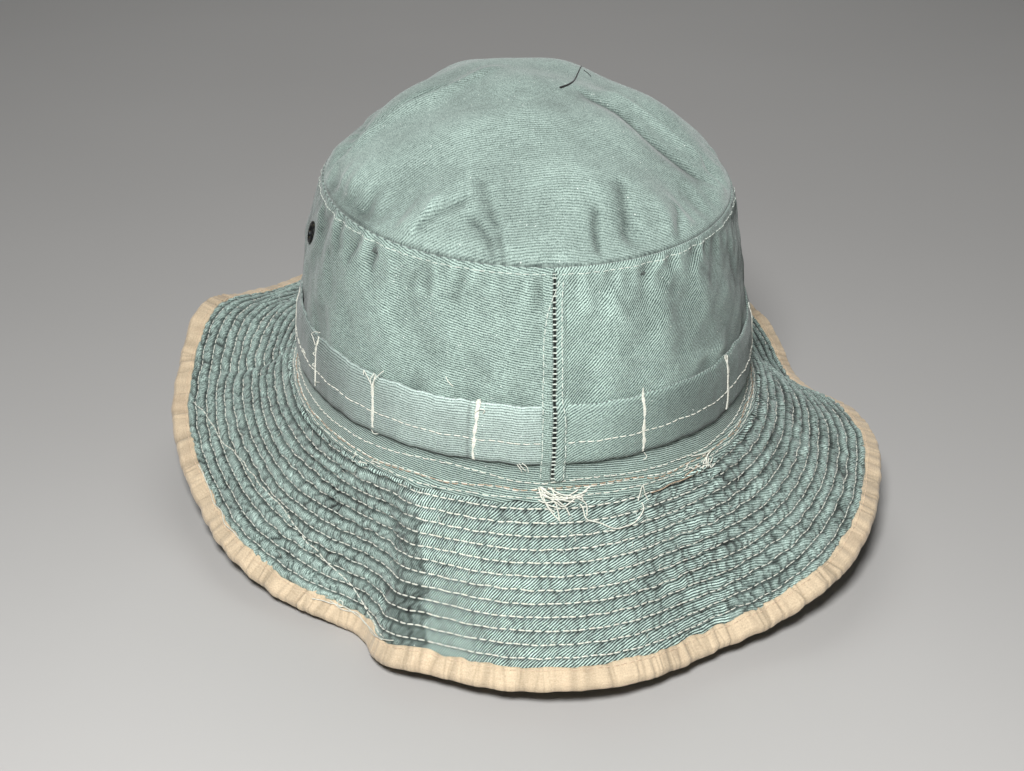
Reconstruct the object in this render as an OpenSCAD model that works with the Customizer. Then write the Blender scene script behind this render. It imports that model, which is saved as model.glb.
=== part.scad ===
// Boonie hat: domed crown, foliage-loop band and a quilted, drooping brim with a bound edge.
// The origin is the centre of the head opening, on the seam between crown and brim. +Z is up,
// -Y is the back, where the crown closes, and +X is the right side. Millimetres.
// An azimuth is counted from the back and grows towards the right side.

/* [Crown] */
// Half width of the crown where it meets the brim
crown_half_w = 86; // [78:0.5:94]
// Length of the crown over its width at the brim
crown_ratio = 1.18; // [1.1:0.01:1.26]
// Length of the crown over its width at the tip seam
tip_ratio = 1.21; // [1.1:0.01:1.26]
// Half width of the crown at the tip seam
tip_half_w = 73.4; // [68:0.2:80]
// Height of the tip seam above the brim seam
tip_seam_h = 70.6; // [60:0.2:80]
// Rise of the domed tip above its seam
dome_rise = 38; // [28:1:42]
// How much higher the left side of the dome stands
dome_lean = 0.1; // [0:0.01:0.15]

/* [Brim] */
// Width of the brim along its slope
brim_w = 68; // [58:1:76]
// Mean angle of the brim below level
mean_droop = 34; // [20:1:38]
// Extra angle at the back, taken off at the front
back_droop = 20; // [0:1:22]
// Angle that the brim loses from the crown out to the edge
flare = 44; // [20:1:50]
// Steepest angle that the cloth reaches
steepest = 86; // [80:1:88]

/* [Trim] */
// Height of the lower edge of the loop band
band_low_h = 8; // [6:0.5:12]
// Width of the loop band
band_w = 20; // [18:0.5:25]
// Width of the binding on the brim, seen from above
binding_w = 7.5; // [6:0.5:10]
// Width of the sweatband
sweatband_w = 31; // [26:1:34]
// Hole radius of the vent eyelets
eyelet_hole_r = 2.3; // [1.8:0.1:2.6]
// Height of the vent eyelets
eyelet_h = 55; // [48:1:58]

/* [Cloth] */
// Thickness of one ply
ply_t = 0.8; // [0.6:0.1:0.9]
// Clear gap between plies that lie on each other
gap = 0.1; // [0.08:0.01:0.15]
// Thickness of the sewing thread
thread_t = 0.45; // [0.3:0.05:0.6]

/* [Hidden] */

sage = [0.42, 0.52, 0.47];
sage_dark = [0.34, 0.43, 0.39];
tan_cotton = [0.72, 0.6, 0.43];
cream = [0.85, 0.82, 0.7];
black_brass = [0.13, 0.15, 0.16];

side_curve = 2.2;       // how late the crown side starts to lean in
pitch = ply_t + gap;    // step from one ply to the next
strip_top_h = 16;       // upper edge of the base strip, behind the band
flange_w = 6;           // how far the base strip runs out on the brim
seam_turn = 1.7;        // half width of the back and front seam strips, as an azimuth
seam_low_h = 1.5;       // lower end of the back seam strip
seam_top_h = tip_seam_h - 2;
band_top_h = band_low_h + band_w;
step_h = band_top_h + 4;  // where the seam strip has come down from the band to the crown side
row_first = 13.6;       // first quilting row beyond the flange, along the slope
row_pitch = 4.4;        // distance between quilting rows
row_count = 11;
tack_turns = [-164, -139, -114, -88, -63, -41, -17, 20, 47, 75, 103, 131, 158];
tack_turn = 0.6;        // half width of a bartack, as an azimuth
eyelet_turns = [-104, -80, 90, 114];
barrel_t = 0.4;         // wall of an eyelet, and thickness of its washer
flange_out = 1.7;       // how far an eyelet's flange and washer reach beyond the hole
flange_h = 0.25;        // underside of the flange over the crown side
washer_h = -1.7;        // inner face of the washer

// Waves of the brim: azimuth at the edge, extra angle, half width, drift towards the crown
waves = [[-123, -10, 10, 0],  // left front rises
         [-84, 9, 18, 0],     // left side hangs
         [-45, 24, 32, 0],    // left back corner rolls down
         [-37, 7, 6, -10],    // valley of the fold
         [-23, -8, 5, -9],    // crest of the fold
         [29, 12, 17, 0],     // right back corner rolls down
         [112, 16, 14, 0],    // dip behind the ridge on the right
         [134, 3, 14, 0]];    // and its slow end

// Azimuths at which the pieces are sampled, finer along the fold
coarse = [for (b = [-180 : 5 : 175]) b];
fine = concat([for (b = [-180 : 5 : -50]) b], [for (b = [-46 : 2 : -10]) b], [for (b = [-6 : 6 : 174]) b]);
brim_steps = [0, 8, 20, 36, 52, brim_w - 1.5];

// ---- Surfaces ----

function sum(v) = v * [for (e = v) 1];

// Level outward direction of an oval at an azimuth
function outward(b, ratio) = let (n = [ratio * sin(b), -cos(b), 0]) n / norm(n);

function oval(b, half, ratio) = [half * sin(b), -ratio * half * cos(b), 0];

function side_half(z) = crown_half_w - (crown_half_w - tip_half_w) * pow(max(z, 0) / tip_seam_h, side_curve);
function side_ratio(z) = crown_ratio + (tip_ratio - crown_ratio) * z / tip_seam_h;

// Point on the crown side, off by a distance outward
function on_side(b, z, off = 0) =
    oval(b, side_half(z), side_ratio(z)) + off * outward(b, side_ratio(z)) + [0, 0, z];

// Point on the dome, where rho runs from 0 at the centre to 1 at the seam
function on_dome(b, rho, off = 0) =
    let (rise = dome_rise * (1 - rho * rho) * (1 - dome_lean * rho * sin(b)))
    oval(b, tip_half_w * rho, tip_ratio) + off * rho * outward(b, tip_ratio)
    + [0, 0, tip_seam_h + rise + off];

// Angle of the brim below level at a distance m along its slope
function slope(b, m) =
    let (turns = [for (w = waves) w[1] * exp(-pow((b - w[0] - w[3] * (1 - m / brim_w)) / w[2], 2))])
    min(steepest, mean_droop + back_droop * cos(b) + flare * (0.5 - m / brim_w) + sum(turns));

// Point on the brim, lifted off its top surface
function on_brim(b, m, lift = 0) =
    let (n = 10, a = slope(b, m), steps = [for (i = [0.5 : n]) slope(b, i * m / n)],
         reach = sum([for (s = steps) cos(s)]) * m / n + lift * sin(a),
         drop = sum([for (s = steps) sin(s)]) * m / n - lift * cos(a))
    oval(b, crown_half_w, crown_ratio) + reach * outward(b, crown_ratio) - [0, 0, drop];

// ---- Solids swept around the hat ----

// Each section is one ring of points, and the sections follow each other around the hat
module sweep(sections, closed = true) {
    n = len(sections);
    s = len(sections[0]);
    sides = [for (i = [0 : closed ? n - 1 : n - 2], j = [0 : s - 1])
        let (a = i * s, b = (i + 1) % n * s, k = (j + 1) % s)
        each [[a + j, a + k, b + k], [a + j, b + k, b + j]]];
    ends = closed ? [] : [for (j = [0 : s / 2 - 2])
        let (k = s - 1 - j, last = (n - 1) * s)
        each [[j, k, k - 1], [j, k - 1, j + 1], [last + j, last + k - 1, last + k],
              [last + j, last + j + 1, last + k - 1]]];
    polyhedron([for (section = sections) each section], concat(sides, ends), convexity = 10);
}

function reversed(v) = [for (i = [len(v) - 1 : -1 : 0]) v[i]];

// Piece on the crown side: outer and inner outlines are lists of [height, distance outward]
module side_piece(turns, outer, inner, closed = true)
    sweep([for (b = turns) [for (p = concat(outer, reversed(inner))) on_side(b, p[0], p[1])]], closed);

function level_line(low, high, off, n = 1) = [for (i = [0 : n]) [low + (high - low) * i / n, off]];

function turns_between(from, to, step = 5) =
    let (n = ceil((to - from) / step)) [for (i = [0 : n]) from + (to - from) * i / n];

// One ply of the brim, under the top surface by a number of plies
module brim_ply(level, steps)
    sweep([for (b = fine) concat([for (m = reversed(steps)) on_brim(b, m, -level * pitch)],
        [for (m = steps) on_brim(b, m, -level * pitch - ply_t)])]);

// Thread that lies around the crown side at a height
module side_thread(turns, z, off)
    side_piece(turns, [[z - thread_t / 2, off], [z, off + thread_t]], [[z + thread_t / 2, off]]);

// ---- Crown ----

module crown_tip() color(sage) {
    rings = [0.12, 0.3, 0.5, 0.68, 0.84, 0.95, 1];
    s = 2 * len(rings);
    n = len(coarse);
    top = [for (b = coarse) each concat([for (r = rings) on_dome(b, r)],
        [for (r = reversed(rings)) on_dome(b, r, -ply_t)])];
    sides = [for (i = [0 : n - 1], j = [0 : s - 2])
        let (a = i * s, b = (i + 1) % n * s)
        each [[a + j, b + j + 1, a + j + 1], [a + j, b + j, b + j + 1]]];
    fans = [for (i = [0 : n - 1])
        let (a = i * s, b = (i + 1) % n * s)
        each [[n * s, b, a], [n * s + 1, a + s - 1, b + s - 1]]];
    polyhedron(concat(top, [on_dome(0, 0), on_dome(0, 0, -ply_t)]), concat(sides, fans), convexity = 10);
}

module side_panel(from, to) color(sage) difference() {
    side_piece(turns_between(from, to), level_line(0.6, tip_seam_h - 1, 0, 6),
        level_line(0.6, tip_seam_h - 1, -ply_t, 6), false);
    for (b = eyelet_turns) at_eyelet(b) cylinder(h = 12, r = eyelet_hole_r + 0.6, center = true, $fn = 32);
}

module back_seam() color(sage)
    side_piece([-seam_turn, 0, seam_turn],
        [[seam_low_h, 2 * pitch + ply_t], [band_top_h, 3 * pitch], [step_h, pitch], [seam_top_h, pitch]],
        [[seam_low_h, pitch + gap], [band_top_h, pitch + gap], [step_h, gap], [seam_top_h, gap]], false);

module front_seam() color(sage)
    side_piece([180 - seam_turn, 180, 180 + seam_turn],
        level_line(band_top_h + 2, seam_top_h, pitch, 2),
        level_line(band_top_h + 2, seam_top_h, gap, 2), false);

module tip_seam_tape() color(sage_dark)
    side_piece(coarse, level_line(tip_seam_h - 9, tip_seam_h - 2.5, -pitch),
        level_line(tip_seam_h - 9, tip_seam_h - 2.5, -pitch - ply_t));

// Strip that joins crown and brim: it starts behind the band and turns out on the brim
module base_strip() color(sage)
    sweep([for (b = fine) concat(
        [on_brim(b, flange_w, pitch), on_brim(b, 2, pitch),
         on_side(b, 1, pitch), on_side(b, strip_top_h, pitch)],
        [on_side(b, strip_top_h, gap), on_side(b, 1, gap),
         on_brim(b, 2, gap), on_brim(b, flange_w, gap)])]);

module loop_band(from, to) color(sage)
    side_piece(turns_between(from, to), level_line(band_low_h, band_top_h, 2 * pitch),
        level_line(band_low_h, band_top_h, pitch + gap), false);

module bartacks() color(cream)
    for (b = tack_turns)
        side_piece([b - tack_turn, b, b + tack_turn],
            level_line(band_low_h + 0.5, band_top_h - 0.5, 3 * pitch - 0.2),
            level_line(band_low_h + 0.5, band_top_h - 0.5, 2 * pitch + gap), false);

module sweatband() color(sage_dark)
    side_piece(coarse, level_line(0.6, 0.6 + sweatband_w, -pitch - 0.3, 2),
        level_line(0.6, 0.6 + sweatband_w, -2 * pitch - 0.3, 2));

// ---- Vent eyelets ----

// Puts a child on the crown side with its axis square to the cloth
module at_eyelet(b) {
    lean = atan((side_half(eyelet_h - 1) - side_half(eyelet_h + 1)) / 2);
    out = outward(b, side_ratio(eyelet_h));
    translate(on_side(b, eyelet_h))
        rotate([0, 0, atan2(out[1], out[0])]) rotate([0, 90 - lean, 0]) children();
}

module eyelet_barrels() color(black_brass)
    for (b = eyelet_turns) at_eyelet(b) rotate_extrude($fn = 48) translate([eyelet_hole_r, 0])
        polygon([[0, washer_h + 0.1], [barrel_t, washer_h + 0.1], [barrel_t, flange_h],
                 [flange_out, flange_h], [flange_out, flange_h + 0.2], [0.9, 0.9], [0, 0.9]]);

module eyelet_washers() color(black_brass)
    for (b = eyelet_turns) at_eyelet(b) rotate_extrude($fn = 48)
        translate([eyelet_hole_r + barrel_t + 0.1, washer_h]) square([flange_out - barrel_t - 0.1, barrel_t]);

// ---- Brim ----

module brim_top() color(sage) brim_ply(0, brim_steps);

module brim_interlining() color(cream) brim_ply(1, brim_steps);

module brim_under() color(sage) brim_ply(2, brim_steps);

// Folded tape around the edge of the three plies
module edge_binding() color(tan_cotton) {
    inner = brim_w - binding_w;
    low = -3 * pitch;
    sweep([for (b = fine) [
        on_brim(b, inner, gap), on_brim(b, brim_w - 1, gap),
        on_brim(b, brim_w - 1, low), on_brim(b, inner, low),
        on_brim(b, inner, low - ply_t), on_brim(b, brim_w - 1.5, low - ply_t), on_brim(b, brim_w, low),
        on_brim(b, brim_w, 0), on_brim(b, brim_w - 1.5, pitch), on_brim(b, inner, pitch)]]);
}

// ---- Stitching ----

// Thread that lies around the brim at a distance down its slope
module brim_thread(m, lift)
    sweep([for (b = fine) [on_brim(b, m + thread_t / 2, lift), on_brim(b, m, lift + thread_t),
        on_brim(b, m - thread_t / 2, lift)]]);

module tip_stitching() color(cream) side_thread(coarse, tip_seam_h - 1.5, gap);

module seam_stitching() color(cream)
    for (b = [-seam_turn, seam_turn] * 0.7)
        side_piece([b - 0.15, b + 0.15],
            [[band_top_h + 2, 3 * pitch + gap], [seam_top_h - 1, pitch + thread_t + gap]],
            [[band_top_h + 2, 3 * pitch], [seam_top_h - 1, pitch + gap]], false);

module band_stitching() color(cream) side_thread(coarse, band_low_h + 0.39 * band_w, 2 * pitch + gap);

module base_stitching() color(cream) for (m = [2.6, 4]) brim_thread(m, pitch + gap);

module brim_stitching() color(cream)
    for (i = [0 : row_count - 1]) brim_thread(row_first + i * row_pitch, gap);

crown_tip();
side_panel(-179.9, -0.1);  // side_panel_left
side_panel(0.1, 179.9);  // side_panel_right
back_seam();
front_seam();
tip_seam_tape();
base_strip();
loop_band(-179.9, -2);  // loop_band_left
loop_band(2, 179.9);  // loop_band_right
bartacks();
eyelet_barrels();
eyelet_washers();
brim_top();
brim_interlining();
brim_under();
edge_binding();
sweatband();
tip_stitching();
seam_stitching();
band_stitching();
base_stitching();
brim_stitching();
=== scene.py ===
import math
import random

import bpy
import numpy as np
from mathutils import Matrix, Vector


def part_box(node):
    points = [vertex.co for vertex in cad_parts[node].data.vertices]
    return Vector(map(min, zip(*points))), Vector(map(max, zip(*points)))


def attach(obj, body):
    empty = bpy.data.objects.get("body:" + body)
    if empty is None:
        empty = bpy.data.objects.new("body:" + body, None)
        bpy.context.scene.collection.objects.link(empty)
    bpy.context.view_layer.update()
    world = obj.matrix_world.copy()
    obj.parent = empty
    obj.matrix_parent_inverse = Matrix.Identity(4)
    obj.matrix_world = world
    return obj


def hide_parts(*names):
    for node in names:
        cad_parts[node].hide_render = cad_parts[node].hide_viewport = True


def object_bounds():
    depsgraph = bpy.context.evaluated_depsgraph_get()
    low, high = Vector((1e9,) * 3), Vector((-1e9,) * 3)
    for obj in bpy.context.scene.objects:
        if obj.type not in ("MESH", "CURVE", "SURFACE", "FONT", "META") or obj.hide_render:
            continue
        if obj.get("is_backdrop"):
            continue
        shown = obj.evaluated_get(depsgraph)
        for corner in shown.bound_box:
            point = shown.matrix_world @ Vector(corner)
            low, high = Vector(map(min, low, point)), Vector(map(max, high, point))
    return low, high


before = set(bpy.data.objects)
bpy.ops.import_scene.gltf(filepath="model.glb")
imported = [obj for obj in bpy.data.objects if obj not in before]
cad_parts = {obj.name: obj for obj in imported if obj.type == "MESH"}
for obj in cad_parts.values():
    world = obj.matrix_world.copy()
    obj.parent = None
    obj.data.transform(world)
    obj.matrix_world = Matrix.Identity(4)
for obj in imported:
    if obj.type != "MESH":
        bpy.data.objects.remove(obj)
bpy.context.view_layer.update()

# Lengths below are in millimetres, as in the part's own source, and every mesh is scaled to
# metres when it is made. An azimuth is in degrees, counted from the back towards the right side.
MM = 0.001


def box_mm(node):
    low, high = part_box(node)
    return np.array(low) / MM, np.array(high) / MM


# ---- Helpers ----

def together(*values):
    """The values as arrays of one shape."""
    return np.broadcast_arrays(*(np.asarray(v, float) for v in values))


def unit(vectors):
    return vectors / np.linalg.norm(vectors, axis=-1, keepdims=True)


def bump(x, width):
    """Rounded bump of height 1 about x = 0."""
    return np.exp(-(x / width) ** 2)


def smooth_step(low, high, x):
    t = np.clip((x - low) / (high - low), 0, 1)
    return t * t * (3 - 2 * t)


def distance_along(path):
    steps = np.linalg.norm(np.diff(path, axis=0), axis=1)
    return np.concatenate([[0], np.cumsum(steps)])


def smooth_path(points, count):
    """Curve through given points."""
    points = np.array(points, float)
    ends = np.vstack([2 * points[0] - points[1], points, 2 * points[-1] - points[-2]])
    t = np.linspace(0, len(points) - 1 - 1e-6, count)
    k = t.astype(int)
    f = (t - k)[:, None]
    p0, p1, p2, p3 = (ends[k + i] for i in range(4))
    return 0.5 * (2 * p1 + (p2 - p0) * f + (2 * p0 - 5 * p1 + 4 * p2 - p3) * f ** 2
                  + (3 * p1 - p0 - 3 * p2 + p3) * f ** 3)


def turns_around(count):
    return np.linspace(-180, 180, count, endpoint=False)


# ---- Camera, at the back of the hat and a little to its left ----

CAM_DISTANCE = 609.0
CAM_TURN = 5.7
CAM_RISE = 25.3
CAM_ROLL = 1.2
AIM_RIGHT = 0.43     # how far right of the middle of the picture the origin lies, in degrees
AIM_UP = 1.31        # and how far above it
LENS = 56.25
SENSOR = 36.0


def swing(first, second, degrees):
    """Two axes, both turned so that the first moves towards the second."""
    cosine, sine = math.cos(math.radians(degrees)), math.sin(math.radians(degrees))
    return first * cosine + second * sine, second * cosine - first * sine


def make_camera():
    turn, rise = math.radians(CAM_TURN), math.radians(CAM_RISE)
    level = math.cos(rise)
    place = CAM_DISTANCE * Vector((-math.sin(turn) * level, -math.cos(turn) * level, math.sin(rise)))
    ahead = -place.normalized()
    right = ahead.cross(Vector((0, 0, 1))).normalized()
    up = right.cross(ahead)
    right, up = swing(right, up, CAM_ROLL)
    right, ahead = swing(right, ahead, AIM_RIGHT)
    up, ahead = swing(up, ahead, AIM_UP)
    data = bpy.data.cameras.new("camera")
    data.lens = LENS
    data.sensor_width = SENSOR
    data.clip_start = 0.01
    camera = bpy.data.objects.new("camera", data)
    camera.matrix_world = Matrix.Translation(place * MM) @ Matrix((right, up, -ahead)).transposed().to_4x4()
    bpy.context.scene.collection.objects.link(camera)
    bpy.context.scene.camera = camera


make_camera()


# ---- Sizes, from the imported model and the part's source ----

side_low, side_high = box_mm("side_panel_right")
tip_low, tip_high = box_mm("crown_tip")
band_low, band_high = box_mm("loop_band_right")
sweat_low, sweat_high = box_mm("sweatband")

PLY = 0.8
PITCH = PLY + 0.1    # from one ply to the next
CROWN_HALF = side_high[0]
CROWN_RATIO = side_high[1] / side_high[0]
TIP_HALF = tip_high[0]
TIP_RATIO = tip_high[1] / tip_high[0]
TIP_SEAM = tip_low[2] + PLY
SIDE_CURVE = 2.2     # power by which the side bends in towards the tip
DOME_RISE = 38.0
DOME_LEAN = 0.1      # share by which the dome is lower on the right and higher on the left

BRIM_W = 68.0
MEAN_DROOP = 34.0    # angle of the brim below level, in degrees
BACK_DROOP = 20.0    # added at the back, taken off at the front
FLARE = 44.0         # how much flatter the brim is at its edge than at the crown
STEEPEST = 86.0
BINDING_W = 7.5
FLANGE_W = 6.0
ROW_DOUBLE = 8.8
ROW_FIRST = 13.6
ROW_PITCH = 4.4
ROW_COUNT = 11
# Azimuth at the edge, extra angle, half width, drift towards the crown
WAVES = [(-123, -10, 10, 0), (-84, 9, 18, 0), (-45, 24, 32, 0), (-37, 7, 6, -10), (-23, -8, 5, -9),
         (29, 12, 17, 0), (112, 16, 14, 0), (134, 3, 14, 0)]

TACK_TURNS = [-164, -139, -114, -88, -63, -41, -17, 20, 47, 75, 103, 131, 158]
EYELET_TURNS = [-104, -80, 90, 114]
EYELET_H = 55.0
HOLE_R = 2.3
HOLE_TURN = 1.4      # half the azimuth that a hole takes up
# Soft creases of the crown side: azimuth and height at both ends, and depth
SIDE_CREASES = [((14, 66), (19, 52), -0.7), ((26, 66), (33, 55), -0.6), ((40, 64), (47, 52), -0.8),
                ((58, 62), (62, 40), -0.8), ((-22, 66), (-24, 56), -0.7), ((-30, 66), (-32, 59), -0.6),
                ((-47, 66), (-49, 58), -0.8), ((-54, 66), (-57, 56), -0.7), ((-72, 66), (-75, 57), -0.7),
                ((-36, 66), (-40, 58), -0.6), ((-62, 66), (-66, 54), -0.6),
                ((30, 34), (52, 30), 0.5), ((-24, 33), (-8, 31), 0.4)]


# ---- Surfaces of the hat ----

def outward(b, ratio):
    """Level outward direction of an oval at an azimuth."""
    turn = np.radians(b)
    return unit(np.stack([ratio * np.sin(turn), -np.cos(turn), 0 * turn], -1))


def oval(b, half, ratio):
    turn = np.radians(b)
    return np.stack([half * np.sin(turn), -ratio * half * np.cos(turn), 0 * turn], -1)


def side_half(z):
    lean = np.maximum(z, 0) / TIP_SEAM
    return CROWN_HALF - (CROWN_HALF - TIP_HALF) * lean ** SIDE_CURVE


def squeeze(b, z):
    """How far the soft crown is pressed in at its two sides."""
    turn = (np.asarray(b, float) + 180) % 360 - 180
    right = np.interp(z, [0, 30, 50, 65, 70], [3.8, 4.0, 3.2, 1.8, 1.0]) * bump(turn - 82, 36)
    left = np.interp(z, [0, 27, 50, 70], [2.4, 2.4, 0.4, 0.0]) * bump(turn + 92, 32)
    return right + left


def on_side(b, z, off=0.0):
    """Point on the crown side, off by a distance outward."""
    b, z, off = together(b, z, off)
    ratio = CROWN_RATIO + (TIP_RATIO - CROWN_RATIO) * z / TIP_SEAM
    off = off - squeeze(b, z)
    point = oval(b, side_half(z), ratio) + off[..., None] * outward(b, ratio)
    point[..., 2] += z
    return point


def on_dome(b, rho, off=0.0):
    """Point on the dome, where rho runs from 0 at the centre to 1 at the seam."""
    b, rho, off = together(b, rho, off)
    rise = DOME_RISE * (1 - rho ** 2) * (1 - DOME_LEAN * rho * np.sin(np.radians(b)))
    aside = (off - squeeze(b, TIP_SEAM)) * rho
    point = oval(b, TIP_HALF * rho, TIP_RATIO) + aside[..., None] * outward(b, TIP_RATIO)
    point[..., 2] += TIP_SEAM + rise + off
    return point


def slope(b, m):
    """Angle of the brim below level at a distance m along its slope."""
    angle = MEAN_DROOP + BACK_DROOP * np.cos(np.radians(b)) + FLARE * (0.5 - m / BRIM_W)
    for turn, extra, width, drift in WAVES:
        angle = angle + extra * bump(b - turn - drift * (1 - m / BRIM_W), width)
    return np.minimum(STEEPEST, angle)


BRIM_STEPS = 12
PRESSED_W = 38.0     # how far down the brim the pressed-in crown is felt


def on_brim(b, m, lift=0.0):
    """Point on the brim, lifted off its top surface: the slope is summed from the crown outward."""
    b, m, lift = together(b, m, lift)
    reach = 0.0
    drop = 0.0
    for i in range(BRIM_STEPS):
        angle = np.radians(slope(b, (i + 0.5) * m / BRIM_STEPS))
        reach = reach + np.cos(angle) * m / BRIM_STEPS
        drop = drop + np.sin(angle) * m / BRIM_STEPS
    angle = np.radians(slope(b, m))
    reach = reach + lift * np.sin(angle)
    drop = drop - lift * np.cos(angle)
    reach = reach - squeeze(b, 0.0) * (1 - np.clip(m / PRESSED_W, 0, 1)) ** 2
    point = oval(b, CROWN_HALF, CROWN_RATIO) + reach[..., None] * outward(b, CROWN_RATIO)
    point[..., 2] -= drop
    return point


# ---- Small irregularities, the same on every run ----

WOBBLE_WAVES = 7


def wobble(x, y, seed):
    """Smooth noise of about unit size, made of waves about 1 to 3 units long."""
    draw = np.random.RandomState(seed)
    total = 0.0
    for _ in range(WOBBLE_WAVES):
        heading = draw.uniform(0, 2 * np.pi)
        pace = 2 * np.pi / draw.uniform(0.9, 2.8)
        phase = draw.uniform(0, 2 * np.pi)
        total = total + np.sin(pace * (x * np.cos(heading) + y * np.sin(heading)) + phase)
    return total / np.sqrt(WOBBLE_WAVES / 2)


def crease(x, y, points, height, left_w, right_w=None, taper=0.25):
    """Ridge, or valley where height is negative, along a line of points. It has its own width on
    the left and on the right of the way that the points run, and it fades out at both ends."""
    right_w = right_w or left_w
    points = np.array(points, float)
    starts = distance_along(points)
    best = np.full(np.broadcast(x, y).shape, 1e9)
    along = np.zeros(best.shape)
    side = np.zeros(best.shape)
    for point, following, start, end in zip(points, points[1:], starts, starts[1:]):
        step = (following - point) / (end - start)
        dx, dy = x - point[0], y - point[1]
        t = np.clip(dx * step[0] + dy * step[1], 0, end - start)
        gap = np.hypot(dx - t * step[0], dy - t * step[1])
        nearer = gap < best
        best = np.where(nearer, gap, best)
        along = np.where(nearer, (start + t) / starts[-1], along)
        side = np.where(nearer, step[0] * dy - step[1] * dx, side)
    width = np.where(side > 0, left_w, right_w)
    fade = smooth_step(0, taper, along) * smooth_step(0, taper, 1 - along)
    return height * np.exp(-(best / width) ** 1.5) * fade


# ---- Relief of the brim ----

# Distances down the slope of the rows of stitches, with the flange and the binding at both ends
CHANNELS = [FLANGE_W, ROW_DOUBLE] + [ROW_FIRST + i * ROW_PITCH for i in range(ROW_COUNT)]
CHANNELS = CHANNELS + [BRIM_W - BINDING_W + 0.6]
PLY_EDGE = BRIM_W - 1.2     # where the plies end, inside the binding
PUFF = 1.8          # height of a channel over its rows
PINCH_W = 0.85      # half width of a pinch across a channel


def rumple(b):
    """How puckered the brim is: least at the back, where it was pressed flat."""
    return 1 - 0.73 * smooth_step(-34, -26, b) * (1 - smooth_step(2, 44, b))


def make_pinches():
    """Places where each quilted channel is pinched across, and how deeply."""
    draw = random.Random(11)
    pinches = []
    for low in CHANNELS[:-1]:
        mm_per_turn = 1.65 + 1.15 * low / BRIM_W
        turns, depths = [], []
        turn = -182.0
        while turn < 182:
            turns.append(turn)
            depths.append(draw.uniform(0.6, 1.0) if draw.random() < 0.88 else 0.2)
            turn += draw.uniform(3.0, 6.6) / mm_per_turn
        pinches.append((np.array(turns), np.array(depths), mm_per_turn))
    return pinches


PINCHES = make_pinches()


def cells(b, m):
    """Where each point lies across its quilted channel, from 0 to 1, how tightly it is pinched
    there, and a number between -1 and 1 that belongs to its cell."""
    b, m = together(b, m)
    across = np.full(b.shape, 0.5)
    pinch = np.zeros(b.shape)
    cell = np.zeros(b.shape)
    skewed = b + 0.5 * wobble(b / 4, m / 3, 5)
    for k, (turns, depths, mm_per_turn) in enumerate(PINCHES):
        low, high = CHANNELS[k], CHANNELS[k + 1]
        inside = (m >= low) & (m < high)
        x = skewed[inside]
        right = np.clip(np.searchsorted(turns, x), 1, len(turns) - 1)
        tight = 0.0
        for side in (right - 1, right):
            gap = (x - turns[side]) * mm_per_turn
            tight = np.maximum(tight, depths[side] * bump(gap, PINCH_W))
        across[inside] = (m[inside] - low) / (high - low)
        pinch[inside] = tight
        cell[inside] = np.sin(37.0 * right + 5.0 * k)
    return across, pinch, cell


def puff(b, m):
    """Height of the quilted channels over their rows of stitches."""
    across, pinch, cell = cells(b, m)
    strength = rumple(b)
    profile = (4 * across * (1 - across)) ** 0.7
    held = smooth_step(CHANNELS[0] - 0.1, CHANNELS[0], m) * smooth_step(CHANNELS[-1], CHANNELS[-1] - 0.1, m)
    fullness = held * PUFF * (0.3 + 0.7 * strength) * (0.85 + 0.25 * cell)
    return fullness * profile * (1 - 0.95 * pinch * strength)


def painted_groove_shade(b, m):
    """Painted shade beside the rows and in the pinches, painted highlight on the rest of each cell, and a
    little random tone for each cell: below 0 is darker.
    """
    across, pinch, cell = cells(b, m)
    strength = 0.35 + 0.65 * rumple(b)
    beside = 1.9 * bump(across - 0.1, 0.13) + 0.8 * bump(1 - across, 0.1)
    return strength * (0.55 - beside - 1.7 * pinch + 0.22 * cell) - 0.1 * (1 - rumple(b))


def crest_line(m):
    """Azimuth of the crest of the fold at the left of the back."""
    return -31.5 + 0.17 * m


def fold_lift(b, m):
    """The fold at the left of the back: a shallow valley and a crest beside it."""
    x = b - crest_line(m)
    crest = smooth_step(-6, 0, x) * bump(np.maximum(x, 0), 10)
    valley = bump(x + 8.5, 5.0)
    return smooth_step(2, 18, m) * (1.0 * crest - 1.2 * valley)


def bulk(b, m):
    """Offset that all plies of the brim share."""
    out = m / BRIM_W
    ripple = 0.5 * wobble(b / 13, out, 21) * out ** 1.5 + 0.12 * wobble(b / 3.6, m / 14, 22) * out
    across = crease(b, m, [(-110, 58), (-106, 32), (-101, 6)], -1.5, 1.5)
    front_roll = -3.0 * smooth_step(50, 70, m) * smooth_step(-122, -134, b) * smooth_step(-180, -165, b)
    return fold_lift(b, m) + rumple(b) * ripple + across + front_roll


def darker_patches(b, m):
    """Darker patches of the brim, from 0 to 1: one fills the flank of the fold."""
    x = b - crest_line(m) + 0.4 * wobble(m / 5, 0 * m, 35)
    flank = smooth_step(-11, -6, x) * smooth_step(0.8, -0.3, x) * smooth_step(8, 16, m)
    patches = smooth_step(0.5, 1.6, wobble(b / 7, m / 12, 36)) * rumple(b)
    return np.maximum(flank * smooth_step(67, 60, m), np.where(b > 0, 0.6, 0.15) * patches)


def drift(b, m):
    """How far a row of stitches wanders along the slope."""
    return 0.16 * (0.4 + rumple(b)) * wobble(b / 4.5, m / 9, 31) * smooth_step(3, 10, m)


def brim_at(b, m, lift=0.0):
    b, m, lift = together(b, m, lift)
    moved = m + drift(b, np.minimum(m, BRIM_W - BINDING_W))
    return on_brim(b, moved, lift + bulk(b, m))
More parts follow.
